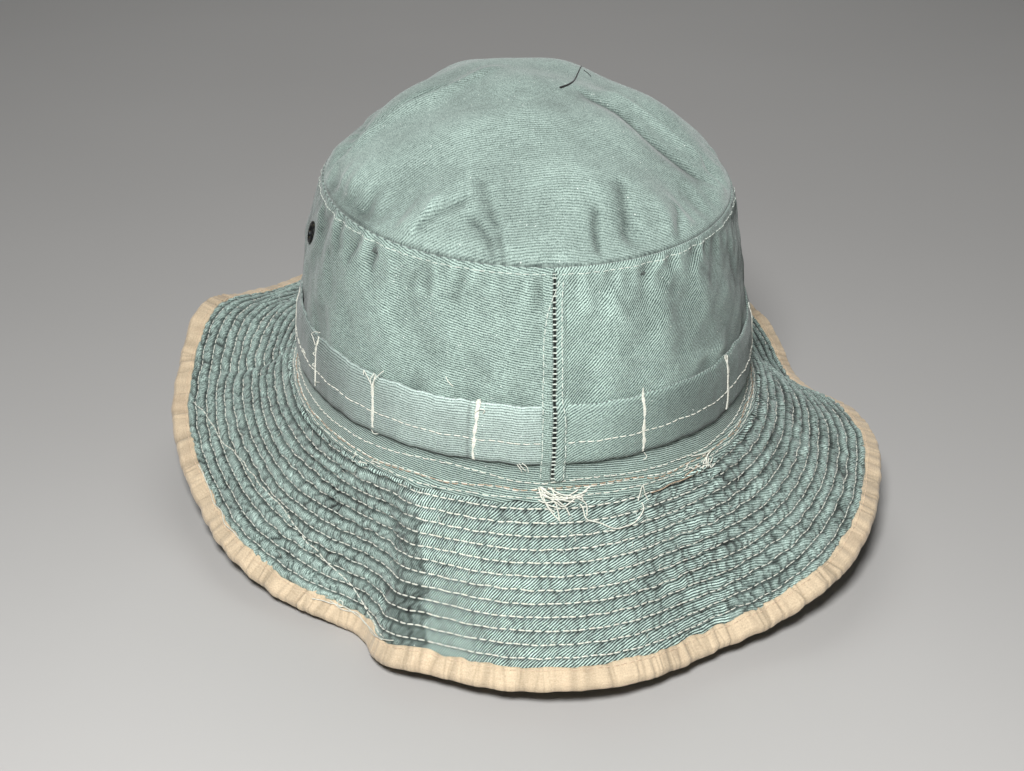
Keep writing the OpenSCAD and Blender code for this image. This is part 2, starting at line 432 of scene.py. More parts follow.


# ---- Relief of the crown ----

# Folds and dents of the tip: plan points, height, widths on both sides, and how much painted shade they get
# (below 0, painted highlight)
TIP_FOLDS = [
    ([(12, -10), (19, -16), (29, -20), (39, -28), (47, -31), (56, -35), (65, -33)], -1.8, 2.2, 5.0, 0.7),
    ([(22, -6), (36, -13), (50, -20), (64, -24)], 2.4, 4, 4, -0.15),
    ([(36, -2), (50, -2), (62, -14), (68, -30)], -2.4, 5, 5, 0.1),
    ([(-67, -14), (-51, -8), (-35, -10), (-18, -2), (-6, 4)], 2.4, 6, 3.6, 0.0),
    ([(-69, 7), (-56, 6), (-46, 2), (-36, 2), (-26, -1)], -2.2, 1.6, 4, 0.45),
    ([(16, -68), (15, -76), (15, -87)], -1.3, 1.0, 2.0, 0.6),
    ([(23.5, -56), (25, -67), (25.5, -80)], -1.2, 2.2, 3.4, 0.55),
    ([(45, -56), (44, -63), (42, -74)], -1.4, 1.2, 2.4, 0.5),
    ([(-72, -6), (-67, -30), (-60, -46), (-54, -59)], -1.8, 3.0, 5, 0.5),
    ([(-43, -70), (-39, -66), (-33, -64.5), (-24, -65)], -1.3, 1.2, 2.4, 0.5),
    ([(-22, -56), (-19, -69), (-16, -80)], -1.2, 1.4, 2.8, 0.4),
    ([(-26, -69), (-20, -78), (-18, -87)], -1.1, 1.2, 2.4, 0.5),
    ([(-17, -76), (-16, -82), (-15, -90)], -0.9, 1.0, 2.0, 0.45),
    ([(-34, -58), (-40, -66), (-46, -70)], 1.2, 2.0, 3.0, -0.1),
    ([(-66, 4), (-60, 22), (-48, 40), (-36, 52)], -1.8, 1.8, 5, 0.3),
]


def tip_relief(x, y):
    """Height of the folds and dents of the domed tip over its plan, and the painted shade and painted
    highlight that follow them.
    """
    rho = np.hypot(x / TIP_HALF, y / (TIP_HALF * TIP_RATIO))
    turn = np.degrees(np.arctan2(x, -y))
    height = 0.7 * wobble(x / 26, y / 26, 41)
    height += 0.28 * wobble(turn / 4.5, 3 * rho, 42) * smooth_step(0.78, 0.95, rho)
    height += 0.8 * bump(turn - 95, 38) * smooth_step(0.66, 0.88, rho)
    shade = 0.12 * height
    for points, rise, left_w, right_w, dark in TIP_FOLDS:
        shape = crease(x, y, points, 1.0, left_w, right_w, taper=0.2)
        height += rise * shape
        shade -= 1.5 * dark * shape ** 1.3
    return height * smooth_step(1.0, 0.93, rho), shade


MM_PER_DEGREE = 1.55     # along the crown side, about


def side_puckers(b, z):
    """Short creases under the tip seam."""
    pucker = 0.3 * wobble(b / 2.6, z / 9, 53) * smooth_step(TIP_SEAM - 20, TIP_SEAM - 3, z)
    for start, end, depth in SIDE_CREASES:
        line = np.array([start, end], float) * (MM_PER_DEGREE, 1)
        pucker = pucker + crease(b * MM_PER_DEGREE, z, line, depth, 2.0)
    return pucker * smooth_step(TIP_SEAM, TIP_SEAM - 3, z)


def side_relief(b, z):
    """Soft creases of the side panels, with puckers under the tip seam."""
    height = 0.45 * wobble(b / 11, z / 22, 51) + 0.16 * wobble(b / 4, z / 9, 52)
    ridge = 0.3 * smooth_step(TIP_SEAM - 4.4, TIP_SEAM - 2.8, z) * smooth_step(TIP_SEAM, TIP_SEAM - 0.9, z)
    held = smooth_step(2, 30, z) * smooth_step(TIP_SEAM - 0.5, TIP_SEAM - 9, z)
    eased = np.ones(np.broadcast(b, z).shape)
    for turn in EYELET_TURNS:
        eased = eased * smooth_step(0.6, 1.6, np.hypot((b - turn) / 4, (z - EYELET_H) / 6))
    eased = eased * smooth_step(0.6, 4.0, np.abs(b))
    return eased * (height * held + side_puckers(b, z)) + ridge


# ---- Mesh building ----

def new_object(name, vertices, faces, material, uv=None, painted_shading_and_wear=None, soft=None):
    """Piece from points in millimetres and arrays of faces, one array for each number of corners."""
    vertices = np.asarray(vertices, np.float32).reshape(-1, 3) * MM
    spots = vertices[faces[0]].astype(float)
    if (spots[:, :1] * np.cross(spots[:, 1:-1], spots[:, 2:])).sum() < 0:
        faces = [f[:, ::-1] for f in faces]
    corners = np.concatenate([f.ravel() for f in faces]).astype(np.int32)
    sizes = np.concatenate([np.full(len(f), f.shape[1]) for f in faces])
    mesh = bpy.data.meshes.new(name)
    mesh.vertices.add(len(vertices))
    mesh.vertices.foreach_set("co", vertices.ravel())
    mesh.loops.add(len(corners))
    mesh.loops.foreach_set("vertex_index", corners)
    mesh.polygons.add(len(sizes))
    mesh.polygons.foreach_set("loop_start", (np.cumsum(sizes) - sizes).astype(np.int32))
    mesh.polygons.foreach_set("use_smooth", np.ones(len(sizes), bool))
    if uv is not None:
        layer = mesh.uv_layers.new(name="cloth")
        layer.data.foreach_set("uv", uv.reshape(-1, 2)[corners].astype(np.float32).ravel())
    # The first of these attributes darkens or lightens the cloth's colour: mostly painted shade and painted
    # highlight, with some of the cloth's own tone.
    for label, values in (("painted_shading_and_wear", painted_shading_and_wear), ("soft", soft)):
        if values is not None:
            layer = mesh.attributes.new(label, "FLOAT", "POINT")
            layer.data.foreach_set("value", values.astype(np.float32).ravel())
    mesh.update(calc_edges=True)
    mesh.materials.append(material)
    piece = bpy.data.objects.new(name, mesh)
    bpy.context.scene.collection.objects.link(piece)
    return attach(piece, "root")


def shell(name, outer, inner, material, uv=None, painted_shading_and_wear=None, around=True, holes=(), pole=False, soft=None):
    """Closed cloth from two grids of points, with azimuth along the first axis. Its borders and its
    holes are walled, and with pole=True the first row is a small ring that a face closes."""
    n, s = outer.shape[:2]
    count = n * s
    index = np.arange(count).reshape(n, s)
    if around:
        index = np.vstack([index, index[:1]])
    solid = np.ones((len(index) - 1, s - 1), bool)
    for i0, i1, j0, j1 in holes:
        solid[i0:i1, j0:j1] = False
    quads = np.stack([index[:-1, :-1], index[1:, :-1], index[1:, 1:], index[:-1, 1:]], -1)[solid]
    edges = np.concatenate([quads[:, [k, (k + 1) % 4]] for k in range(4)])
    rim = edges[~np.isin(edges[:, 0] * count + edges[:, 1], edges[:, 1] * count + edges[:, 0])]
    faces = []
    if pole:
        rim = rim[(rim % s).min(1) > 0]
        ring = index[:-1, 0]
        faces = [ring[None, ::-1], ring[None] + count]
    walls = np.stack([rim[:, 1], rim[:, 0], rim[:, 0] + count, rim[:, 1] + count], -1)
    faces = [np.concatenate([quads, quads[:, ::-1] + count, walls])] + faces
    if uv is not None:
        uv = np.concatenate([uv, uv])
    if painted_shading_and_wear is not None:
        painted_shading_and_wear = np.concatenate([painted_shading_and_wear, 0 * painted_shading_and_wear])
    if soft is not None:
        soft = np.concatenate([soft, 0 * soft])
    return new_object(name, np.concatenate([outer, inner]), faces, material, uv, painted_shading_and_wear, soft)


def tubes(name, groups, material):
    """Piece made of tubes: each group is an array of tube, ring, point on the ring and coordinate."""
    points, quads, ends = [], [], []
    start = 0
    for group in groups:
        count, rings, sides = group.shape[:3]
        index = start + np.arange(count * rings * sides).reshape(count, rings, sides)
        turned = np.roll(index, -1, 2)
        square = [index[:, :-1], turned[:, :-1], turned[:, 1:], index[:, 1:]]
        quads.append(np.stack(square, -1).reshape(-1, 4))
        ends.append(np.concatenate([index[:, 0, ::-1], index[:, -1]]))
        points.append(group.reshape(-1, 3))
        start += count * rings * sides
    return new_object(name, np.concatenate(points), [np.concatenate(quads), np.concatenate(ends)], material)


def rings_along(centres, normals, radius, sides=6):
    """Rings of points around a path or around many paths at once."""
    centres, normals = np.broadcast_arrays(centres, normals)
    ahead = unit(np.gradient(centres, axis=-2))
    across = unit(np.cross(ahead, normals))
    up = np.cross(across, ahead)
    turn = 2 * np.pi * np.arange(sides) / sides
    radius = np.broadcast_to(radius, centres.shape[:-1])[..., None, None]
    spread = across[..., None, :] * np.cos(turn)[:, None] + up[..., None, :] * np.sin(turn)[:, None]
    return centres[..., None, :] + radius * spread


STITCH = 2.9
STITCH_GAP = 0.5


def stitch_row(path, normals, seed, length=STITCH, radius=0.2, height=0.12, loose=0.0):
    """Separate stitches along a path: each comes out of the cloth, lies on it and goes back in."""
    draw = np.random.RandomState(seed)
    far = distance_along(path)
    count = max(1, int(far[-1] / length))
    pace = far[-1] / count
    starts = pace * (np.arange(count) + 0.12 * draw.uniform(-1, 1, count)) + STITCH_GAP / 2
    along = np.array([0.0, 0.16, 0.5, 0.84, 1.0])
    rise = np.array([-0.3, height, height + 0.08, height, -0.3])
    where = starts[:, None] + along * (pace - STITCH_GAP)
    centre = np.stack([np.interp(where, far, path[:, k]) for k in range(3)], -1)
    normal = np.stack([np.interp(where, far, normals[:, k]) for k in range(3)], -1)
    normal = unit(normal)
    aside = unit(np.cross(centre[:, -1] - centre[:, 0], normal[:, 2]))
    lift = rise + loose * draw.uniform(0, 1, (count, 1)) * np.array([0, 0.6, 1, 0.6, 0])
    sway = 0.05 * draw.uniform(-1, 1, (count, 5))
    sway = sway + loose * draw.uniform(-1, 1, (count, 1)) * (along * (1 - along))
    centre = centre + normal * lift[..., None] + aside[:, None] * sway[..., None]
    width = np.interp(where, far, radius + 0 * far)
    return rings_along(centre, normal, width * np.array([0.7, 1, 1.05, 1, 0.7]))


def normals_of(surface, b, v):
    """Outward normals of a surface function of azimuth and a second measure."""
    ahead = surface(b + 0.05, v) - surface(b - 0.05, v)
    down = surface(b, v + 0.05) - surface(b, v - 0.05)
    normal = unit(np.cross(ahead, down))
    middle = surface(b, v)
    outside = middle * np.array([1, 1, 0]) + np.array([0, 0, 60.0])
    return normal * np.sign((normal * outside).sum(-1, keepdims=True))


def row_on(surface, b, v, seed, **settings):
    b = np.asarray(b, float)
    v = np.broadcast_to(np.asarray(v, float), b.shape)
    return stitch_row(surface(b, v), normals_of(surface, b, v), seed, **settings)


# ---- Materials ----

class Graph:
    """A material and a short way to add nodes to it."""

    def __init__(self, name):
        self.material = bpy.data.materials.new(name)
        self.material.use_nodes = True
        self.tree = self.material.node_tree
        self.shader = self.tree.nodes["Principled BSDF"]

    def add(self, kind, *inputs, props=None, out=0, **named):
        made = self.tree.nodes.new(kind)
        for key, value in (props or {}).items():
            setattr(made, key, value)
        for socket, value in zip(made.inputs, inputs):
            self.feed(socket, value)
        for key, value in named.items():
            self.feed(made.inputs[key], value)
        return made.outputs[out]

    def feed(self, socket, value):
        if isinstance(value, bpy.types.NodeSocket):
            self.tree.links.new(value, socket)
        else:
            socket.default_value = value

    def math(self, operation, a, b=0.0, c=0.0):
        return self.add("ShaderNodeMath", a, b, c, props={"operation": operation})

    def times(self, a, b, plus=None):
        if plus is None:
            return self.math("MULTIPLY", a, b)
        return self.math("MULTIPLY_ADD", a, b, plus)

    def spread(self, value, low, high, to_low=0.0, to_high=1.0):
        return self.add("ShaderNodeMapRange", value, low, high, to_low, to_high)

    def noise(self, vector, scale, detail=2.0, rough=0.5):
        return self.add("ShaderNodeTexNoise", Vector=vector, Scale=scale, Detail=detail, Roughness=rough)

    def mix(self, factor, a, b, blend="MIX"):
        made = self.tree.nodes.new("ShaderNodeMix")
        made.data_type = "RGBA"
        made.blend_type = blend
        for place, value in ((0, factor), (6, a), (7, b)):
            self.feed(made.inputs[place], value)
        return made.outputs[2]

    def darken(self, colour, shade):
        grey = self.add("ShaderNodeCombineXYZ", shade, shade, shade)
        return self.mix(1.0, colour, grey, "MULTIPLY")

    def cloth_uv(self):
        uv = self.add("ShaderNodeUVMap", props={"uv_map": "cloth"})
        split = self.tree.nodes.new("ShaderNodeSeparateXYZ")
        self.feed(split.inputs[0], uv)
        return uv, split.outputs[0], split.outputs[1]

    def place(self):
        return self.add("ShaderNodeTexCoord", out=3)

    def measure(self, name):
        return self.add("ShaderNodeAttribute", props={"attribute_name": name}, out=2)

    def finish(self, colour, height, bump, rough, **fixed):
        self.feed(self.shader.inputs["Base Color"], colour)
        self.feed(self.shader.inputs["Roughness"], rough)
        for key, value in fixed.items():
            self.shader.inputs[key.replace("_", " ")].default_value = value
        normal = self.add("ShaderNodeBump", Strength=1.0, Distance=bump * MM, Height=height)
        self.tree.links.new(normal, self.shader.inputs["Normal"])
        return self.material


def rgb(red, green, blue):
    return (red, green, blue, 1.0)


WEFT_PITCH = 0.5


def weave(name, angle, light, dark, wale=0.84, wales=0.4, depth=1.0, lint=1.0, bump_mm=0.16,
          blotch=0.06, level=0.0):
    """Twill whose lines are square to a direction at that angle on the cloth."""
    g = Graph(name)
    uv, u, v = g.cloth_uv()
    place = g.place()
    cosine, sine = math.cos(math.radians(angle)), math.sin(math.radians(angle))
    wander = g.noise(uv, 0.22, 3.0)
    across = g.times(u, cosine, g.times(v, sine))
    along = g.times(v, cosine, g.times(u, -sine))
    across = g.times(wander, 0.9, across)
    phase = g.times(across, 2 * math.pi / wale)
    ridge = g.times(g.math("SINE", phase), 0.5, 0.5)
    knot_phase = g.times(along, 2 * math.pi / WEFT_PITCH, g.times(phase, 0.5))
    knot = g.times(g.math("SINE", knot_phase), 0.5, 0.5)
    fibre = g.noise(uv, 2.1, 3.0, 0.65)
    clump = g.noise(uv, 0.55, 3.0, 0.6)
    line = g.times(knot, 0.4, 0.8)
    line = g.times(g.math("SUBTRACT", g.times(ridge, line), 0.5), wales)
    crisp = g.times(g.measure("soft"), -0.85, 1.0)
    height = g.times(line, crisp, 0.2)
    fuzz = g.times(g.measure("soft"), -0.62, 0.95)
    height = g.math("ADD", g.times(g.math("SUBTRACT", fibre, 0.5), fuzz, 0.475), height)
    height = g.times(clump, 0.25, height)
    middle = 0.79 - level
    tone = g.spread(height, middle - 0.24 / depth, middle + 0.3 / depth)
    colour = g.mix(tone, dark, light)
    fade = g.noise(place, 26.0, 4.0, 0.55)
    smudge = g.noise(place, 150.0, 3.0, 0.6)
    shade = g.math("ADD", g.spread(fade, 0.3, 0.7, 0.84, 1.1), g.spread(smudge, 0.3, 0.7, -blotch, blotch))
    # The point attribute's painted shade and painted highlight, with the random fading, multiply the
    # colour.
    colour = g.darken(colour, g.times(g.measure("painted_shading_and_wear"), 0.55, shade))
    dust = g.tree.nodes.new("ShaderNodeTexVoronoi")
    g.feed(dust.inputs["Vector"], uv)
    dust.inputs["Scale"].default_value = 0.42
    near = g.math("LESS_THAN", dust.outputs["Distance"], 0.085)
    chosen = g.math("GREATER_THAN", g.add("ShaderNodeSeparateXYZ", dust.outputs["Color"]), 0.62)
    speck = g.times(g.times(near, chosen), 0.75 * lint)
    colour = g.mix(speck, colour, rgb(0.78, 0.84, 0.78))
    roughness = g.spread(height, 0.6, 1.2, 0.94, 0.82)
    return g.finish(colour, height, bump_mm, roughness, Sheen_Weight=0.22, Sheen_Roughness=0.45,
                    Specular_IOR_Level=0.28)


def plain_cotton(name, light, dark, pitch=0.55):
    """Plain weave with slubs, for the tape."""
    g = Graph(name)
    uv, u, v = g.cloth_uv()
    warp = g.math("SINE", g.times(u, 2 * math.pi / pitch))
    weft = g.math("SINE", g.times(v, 2 * math.pi / pitch))
    grid = g.times(g.times(warp, weft), 0.25, 0.5)
    fibre = g.noise(uv, 1.6, 4.0, 0.65)
    slub = g.noise(g.add("ShaderNodeMapping", uv, Scale=(0.3, 2.2, 1.0)), 0.8, 2.0)
    height = g.times(fibre, 0.8, g.times(slub, 0.3, g.times(grid, 0.5)))
    colour = g.mix(g.spread(height, 0.45, 1.15), dark, light)
    stain = g.noise(g.place(), 55.0, 4.0, 0.6)
    colour = g.mix(g.spread(stain, 0.55, 0.75, 0.0, 0.4), colour, rgb(0.42, 0.3, 0.2))
    # The point attribute darkens the tape: painted shade in its gathers.
    colour = g.darken(colour, g.times(g.measure("painted_shading_and_wear"), 0.35, 1.0))
    return g.finish(colour, height, 0.14, 0.9, Sheen_Weight=0.2, Sheen_Roughness=0.5,
                    Specular_IOR_Level=0.25)


def thread_material(name, light, dark):
    """Twisted sewing thread, stained here and there."""
    g = Graph(name)
    place = g.place()
    twist = g.noise(place, 4200.0, 2.0)
    stain = g.noise(place, 70.0, 3.0, 0.6)
    colour = g.mix(g.spread(twist, 0.3, 0.65), dark, light)
    colour = g.mix(g.spread(stain, 0.55, 0.75, 0.0, 0.4), colour, dark)
    return g.finish(colour, twist, 0.05, 0.8, Sheen_Weight=0.15, Sheen_Roughness=0.4,
                    Specular_IOR_Level=0.3)


def brass_material():
    """Blackened brass, rubbed through in small patches."""
    g = Graph("black_brass_finish")
    place = g.place()
    rub = g.noise(place, 900.0, 4.0, 0.7)
    colour = g.mix(g.spread(rub, 0.55, 0.72), rgb(0.012, 0.014, 0.016), rgb(0.2, 0.17, 0.1))
    return g.finish(colour, rub, 0.03, g.spread(rub, 0.3, 0.7, 0.32, 0.5), Metallic=0.75)


SAGE_LIGHT = rgb(0.49, 0.63, 0.56)
SAGE_DARK = rgb(0.036, 0.062, 0.056)
SAGE_PALE = rgb(0.54, 0.66, 0.605)
# The tip's light colour is SAGE_LIGHT made lighter: painted light on the top of the crown.
SAGE_TIP_PAINTED_LIGHTER = rgb(0.53, 0.67, 0.60)
SAGE_BRIM = rgb(0.57, 0.72, 0.65)
twill_tip = weave("twill_tip", 90, SAGE_TIP_PAINTED_LIGHTER, SAGE_DARK, wale=0.85, wales=0.2, depth=0.9, blotch=0.1)
twill_left = weave("twill_left", 80, SAGE_LIGHT, SAGE_DARK, wale=0.74, wales=0.32, depth=1.1, blotch=0.1)
twill_right = weave("twill_right", -45, SAGE_LIGHT, SAGE_DARK, wale=0.78, wales=0.42, depth=1.1,
                    blotch=0.12)
twill_band_left = weave("twill_band_left", 90, SAGE_PALE, SAGE_DARK, wale=0.8, wales=0.4, depth=0.85,
                        level=0.06)
twill_band_right = weave("twill_band_right", -60, SAGE_LIGHT, SAGE_DARK, wale=0.8, wales=0.4, depth=0.9)
twill_base = weave("twill_base", 84, SAGE_LIGHT, SAGE_DARK, wale=0.8, wales=0.55)
twill_brim = weave("twill_brim", -58, SAGE_BRIM, SAGE_DARK, wale=0.86, wales=0.68, depth=2.0,
                   bump_mm=0.15, blotch=0.16, level=-0.02)
twill_under = weave("twill_under", 45, rgb(0.33, 0.43, 0.37), rgb(0.09, 0.14, 0.12))
twill_dark = weave("twill_dark", 0, rgb(0.26, 0.33, 0.29), rgb(0.08, 0.11, 0.10), wale=1.1, lint=0.4)
# Nearly black cloth: painted shadow at the bottom of the back seam's slot.
painted_slot_shadow = weave("painted_slot_shadow", 0, rgb(0.05, 0.07, 0.06), rgb(0.01, 0.015, 0.012), lint=0.0)
canvas = plain_cotton("interlining_canvas", rgb(0.62, 0.58, 0.46), rgb(0.32, 0.29, 0.22), 0.9)
tape_cotton = plain_cotton("tan_tape", rgb(0.84, 0.70, 0.50), rgb(0.44, 0.32, 0.20))
cream_thread = thread_material("cream_sewing_thread", rgb(0.88, 0.90, 0.82), rgb(0.58, 0.56, 0.46))
pale_thread = thread_material("pale_sewing_thread", rgb(0.74, 0.80, 0.72), rgb(0.40, 0.45, 0.40))
black_thread = thread_material("black_thread", rgb(0.02, 0.02, 0.02), rgb(0.01, 0.01, 0.01))
brown_thread = thread_material("brown_sewing_thread", rgb(0.55, 0.42, 0.30), rgb(0.28, 0.20, 0.14))
tan_thread = thread_material("tan_sewing_thread", rgb(0.82, 0.66, 0.48), rgb(0.5, 0.36, 0.24))
black_brass = brass_material()


# ---- Pieces ----

def describe(piece, nodes=()):
    """Hides the imported parts that a piece stands for."""
    if nodes:
        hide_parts(*nodes)


def threads(name, groups, nodes=(), material=cream_thread):
    describe(tubes(name, groups, material), nodes)


def arc_at(b, z):
    """Length along the crown side from the back, at a height."""
    fine = np.linspace(-185, 185, 1481)
    far = distance_along(on_side(fine, z))
    return np.interp(b, fine, far - np.interp(0, fine, far))


def side_uv(b, z):
    return np.stack(np.broadcast_arrays(arc_at(b, 30.0)[:, None], z[None, :]), -1)


def flat_uv(b, m):
    """Place on the brim as it was cut flat."""
    b, m = together(b, m)
    return (oval(b, CROWN_HALF, CROWN_RATIO) + m[..., None] * outward(b, CROWN_RATIO))[..., :2]


def side_cloth(name, material, b, z, outer, inner, painted_shading_and_wear=None, around=True, holes=()):
    """Cloth along the crown side: azimuths, heights, and how far its two faces stand off it."""
    outer = on_side(b[:, None], z, outer)
    inner = on_side(b[:, None], z, inner)
    if painted_shading_and_wear is not None:
        painted_shading_and_wear = np.broadcast_to(painted_shading_and_wear, outer.shape[:2])
    return shell(name, outer, inner, material, side_uv(b, z), painted_shading_and_wear, around, holes)


def make_crown_tip():
    b = turns_around(720)[:, None]
    rho = np.concatenate([[0.004], np.linspace(0.02, 0.9, 78), np.linspace(0.905, 0.996, 22)])[None, :]
    x = TIP_HALF * rho * np.sin(np.radians(b))
    y = -TIP_HALF * TIP_RATIO * rho * np.cos(np.radians(b))
    relief, shade = tip_relief(x, y)
    tucked_z = TIP_SEAM - np.array([0.3, 1.4, 6.0])
    tucked_off = np.array([-0.35, -0.9, -0.95])
    outer = np.concatenate([on_dome(b, rho, relief), on_side(b, tucked_z, tucked_off)], 1)
    inner = np.concatenate([on_dome(b, rho, relief - PLY), on_side(b, tucked_z, tucked_off - PLY)], 1)
    uv = np.concatenate([np.stack([x, y], -1), outer[:, -3:, :2]], 1)
    # Painted shade and painted highlight of the folds, painted shade along the edge of the seam, and
    # painted shade on the part tucked under it.
    painted_shading_and_wear = np.clip(shade, -1.0, 0.3) - 0.5 * smooth_step(0.986, 0.995, rho)
    painted_shading_and_wear = np.concatenate([painted_shading_and_wear, np.zeros((len(b), 3)) - 0.7], 1)
    piece = shell("tip_panel", outer, inner, twill_tip, uv, painted_shading_and_wear, pole=True)
    describe(piece, ["crown_tip"])


def make_side_panel(name, node, start, end, material):
    b = np.linspace(start, end, 421)
    z = np.concatenate([np.linspace(0.6, TIP_SEAM - 8, 62),
                        np.linspace(TIP_SEAM - 7.6, TIP_SEAM - 0.5, 18)])
    holes = []
    for turn in EYELET_TURNS:
        if start < turn < end:
            i0, i1 = np.searchsorted(b, [turn - HOLE_TURN, turn + HOLE_TURN])
            j0, j1 = np.searchsorted(z, [EYELET_H - HOLE_R, EYELET_H + HOLE_R])
            holes.append((i0, i1 - 1, j0, j1 - 1))
    relief = side_relief(b[:, None], z[None, :])
    # Painted shade towards both sides of the crown, painted highlight on the ridge under the tip seam,
    # painted shading that follows the relief, and painted shade in the puckers.
    painted_side_shade = 0.8 * smooth_step(30, 82, np.abs(b + 10))[:, None]
    painted_shading_and_wear = 0.12 * smooth_step(TIP_SEAM - 4, TIP_SEAM - 2, z) + 0.2 * relief - painted_side_shade
    painted_shading_and_wear = painted_shading_and_wear + 0.55 * side_puckers(b[:, None], z[None, :])
    piece = side_cloth(name, material, b, z, relief, np.minimum(relief, 0.2) - PLY, painted_shading_and_wear, False, holes)
    describe(piece, [node])


def make_tip_tape():
    b = turns_around(360)
    z = np.linspace(TIP_SEAM - 9, TIP_SEAM - 2.5, 6)
    off = 0.15 * wobble(b[:, None] / 5, z / 20, 61) - 2 * PITCH - 0.1
    piece = side_cloth("tip_seam_tape_cloth", twill_dark, b, z, off, off - PLY)
    describe(piece, ["tip_seam_tape"])


# ---- Back and front seams ----

# Azimuths of the two folds, and azimuth and height along their rows of stitches
SEAM_LEFT = (-2.75, -0.3)
SEAM_RIGHT = (0.3, 2.7)
SEAM_LEFT_STITCH = [(-2.45, 2), (-2.5, 30), (-2.45, 46), (-2.2, 52), (-1.5, 57), (-0.5, 61), (0.2, 63),
                    (1.0, 66.5)]
SEAM_RIGHT_STITCH = [(2.35, 2), (2.3, 20), (1.7, 31), (1.6, 50), (1.9, 66.5)]
LADDER_PITCH = 1.7


def seam_off(z):
    """How far the back seam stands off the crown side, most where it crosses the loop band."""
    plies = [2.1, 2.3, 3.1, 3.1, 0.95, 0.9]
    return PITCH * np.interp(z, [0, 7.5, 9.5, 26.5, 29.5, TIP_SEAM], plies)


def seam_surface(b, z):
    """Top of the two folds: steep at the slot between them and eased down at their outer edges."""
    b, z = together(b, z)
    far = np.where(b < 0, -SEAM_LEFT[0], SEAM_RIGHT[1])
    t = np.clip((np.abs(b) - 0.3) / (far - 0.3), 0, 1)
    drop = 0.5 * (1 - smooth_step(0, 0.16, t)) + 0.62 * smooth_step(0.62, 1.0, t)
    rumpled = 0.12 * wobble(b / 1.5, z / 6, 71) * smooth_step(1, 0.8, t)
    shift = 0.1 * wobble(0 * z, z / 11, 72)
    return on_side(b + shift, z, seam_off(z) - drop + rumpled)


def make_back_seam():
    z = np.linspace(1.5, TIP_SEAM - 1.6, 150)
    for name, ends, nodes, material in (("back_seam_fold_left", SEAM_LEFT, ["back_seam"], twill_left),
                                        ("back_seam_fold_right", SEAM_RIGHT, [], twill_right)):
        b = np.linspace(*ends, 21)
        outer = seam_surface(b[:, None], z)
        inner = on_side(b[:, None], z, seam_off(z) - PLY)
        # Painted shade on each fold beside the slot.
        painted_shading_and_wear = 0.1 - 0.9 * bump(np.abs(b) - 0.3, 0.22)[:, None] + 0 * outer[..., 0]
        piece = shell(name, outer, inner, material, side_uv(b, z), painted_shading_and_wear, around=False)
        describe(piece, nodes)
    rungs = np.arange(2.5, TIP_SEAM - 1.8, LADDER_PITCH)
    span = np.linspace(-0.5, 0.5, 5)[None, :]
    height = rungs[:, None] + 0.16 * np.sin(7.0 * np.arange(len(rungs)))[:, None]
    centres = on_side(span, height, seam_off(height) - 0.38)
    ladder = rings_along(centres, outward(span, CROWN_RATIO), 0.26)
    rows = []
    for points, seed in ((SEAM_LEFT_STITCH, 81), (SEAM_RIGHT_STITCH, 82)):
        b, z = smooth_path(points, 260).T
        rows.append(stitch_row(seam_surface(b, z), outward(b, CROWN_RATIO), seed, length=2.6,
                               radius=0.16, height=0.1))
    threads("seam_threads", rows, ["seam_stitching"], pale_thread)
    threads("seam_ladder", [ladder], (), pale_thread)


def make_seam_slot():
    """Nearly black cloth at the bottom of the slot between the two folds: a painted shadow in the slot."""
    b = np.linspace(-1.6, 1.6, 9)
    z = np.linspace(1.8, TIP_SEAM - 1.8, 120)
    piece = side_cloth("seam_slot", painted_slot_shadow, b, z, seam_off(z) - 0.62, seam_off(z) - 0.7, -1.2, False)
    describe(piece, ())


def make_front_seam():
    z = np.linspace(29, TIP_SEAM - 2.2, 90)
    b = np.linspace(178.1, 181.9, 15)
    off = PITCH - 0.4 * np.abs((b - 180) / 1.9)[:, None] ** 4
    piece = side_cloth("front_seam_strip", twill_right, b, z, off, 0.1, 0.4, False)
    describe(piece, ["front_seam"])
    z = np.linspace(30, TIP_SEAM - 2.5, 200)
    rows = [stitch_row(on_side(turn, z, PITCH), outward(turn + 0 * z, CROWN_RATIO), seed)
            for turn, seed in ((178.8, 83), (181.2, 84))]
    threads("front_seam_threads", rows)


# ---- Foliage-loop band ----

# Azimuths where the band is held down: at the tacks and the seams
HOLDS = np.array(sorted(TACK_TURNS + [-180, -2.6, 2.6, 180]))


def band_bulge(b, z):
    """How far the band stands off between the bartacks."""
    b, z = together(b, z)
    k = np.clip(np.searchsorted(HOLDS, b) - 1, 0, len(HOLDS) - 2)
    low, high = HOLDS[k], HOLDS[k + 1]
    t = np.clip((b - low) / (high - low), 0, 1)
    wide = np.minimum(1, (high - low) / 20)
    level = (z - band_low[2]) / (band_high[2] - band_low[2])
    share = 0.55 + 0.25 * np.sin(5.0 * k) + 0.35 * level * np.cos(3.0 * k)
    tight = 1 - 0.75 * smooth_step(35, 75, np.abs(b))
    return tight * wide * share * np.sin(np.pi * t) ** 0.7 + 0.09 * wobble(b / 2.5, z / 8, 91)


def band_off(z):
    """Height of the band off the crown side: it leans in at its top edge."""
    return 2 * PITCH + 0.15 - 0.85 * smooth_step(band_high[2] - 5, band_high[2], z)


def band_surface(b, z, off=0.0):
    edge_sway = 0.3 * wobble(np.asarray(b, float) / 9, 0.0, 92)
    return on_side(b, z + edge_sway, band_off(z) + band_bulge(b, z) + off)


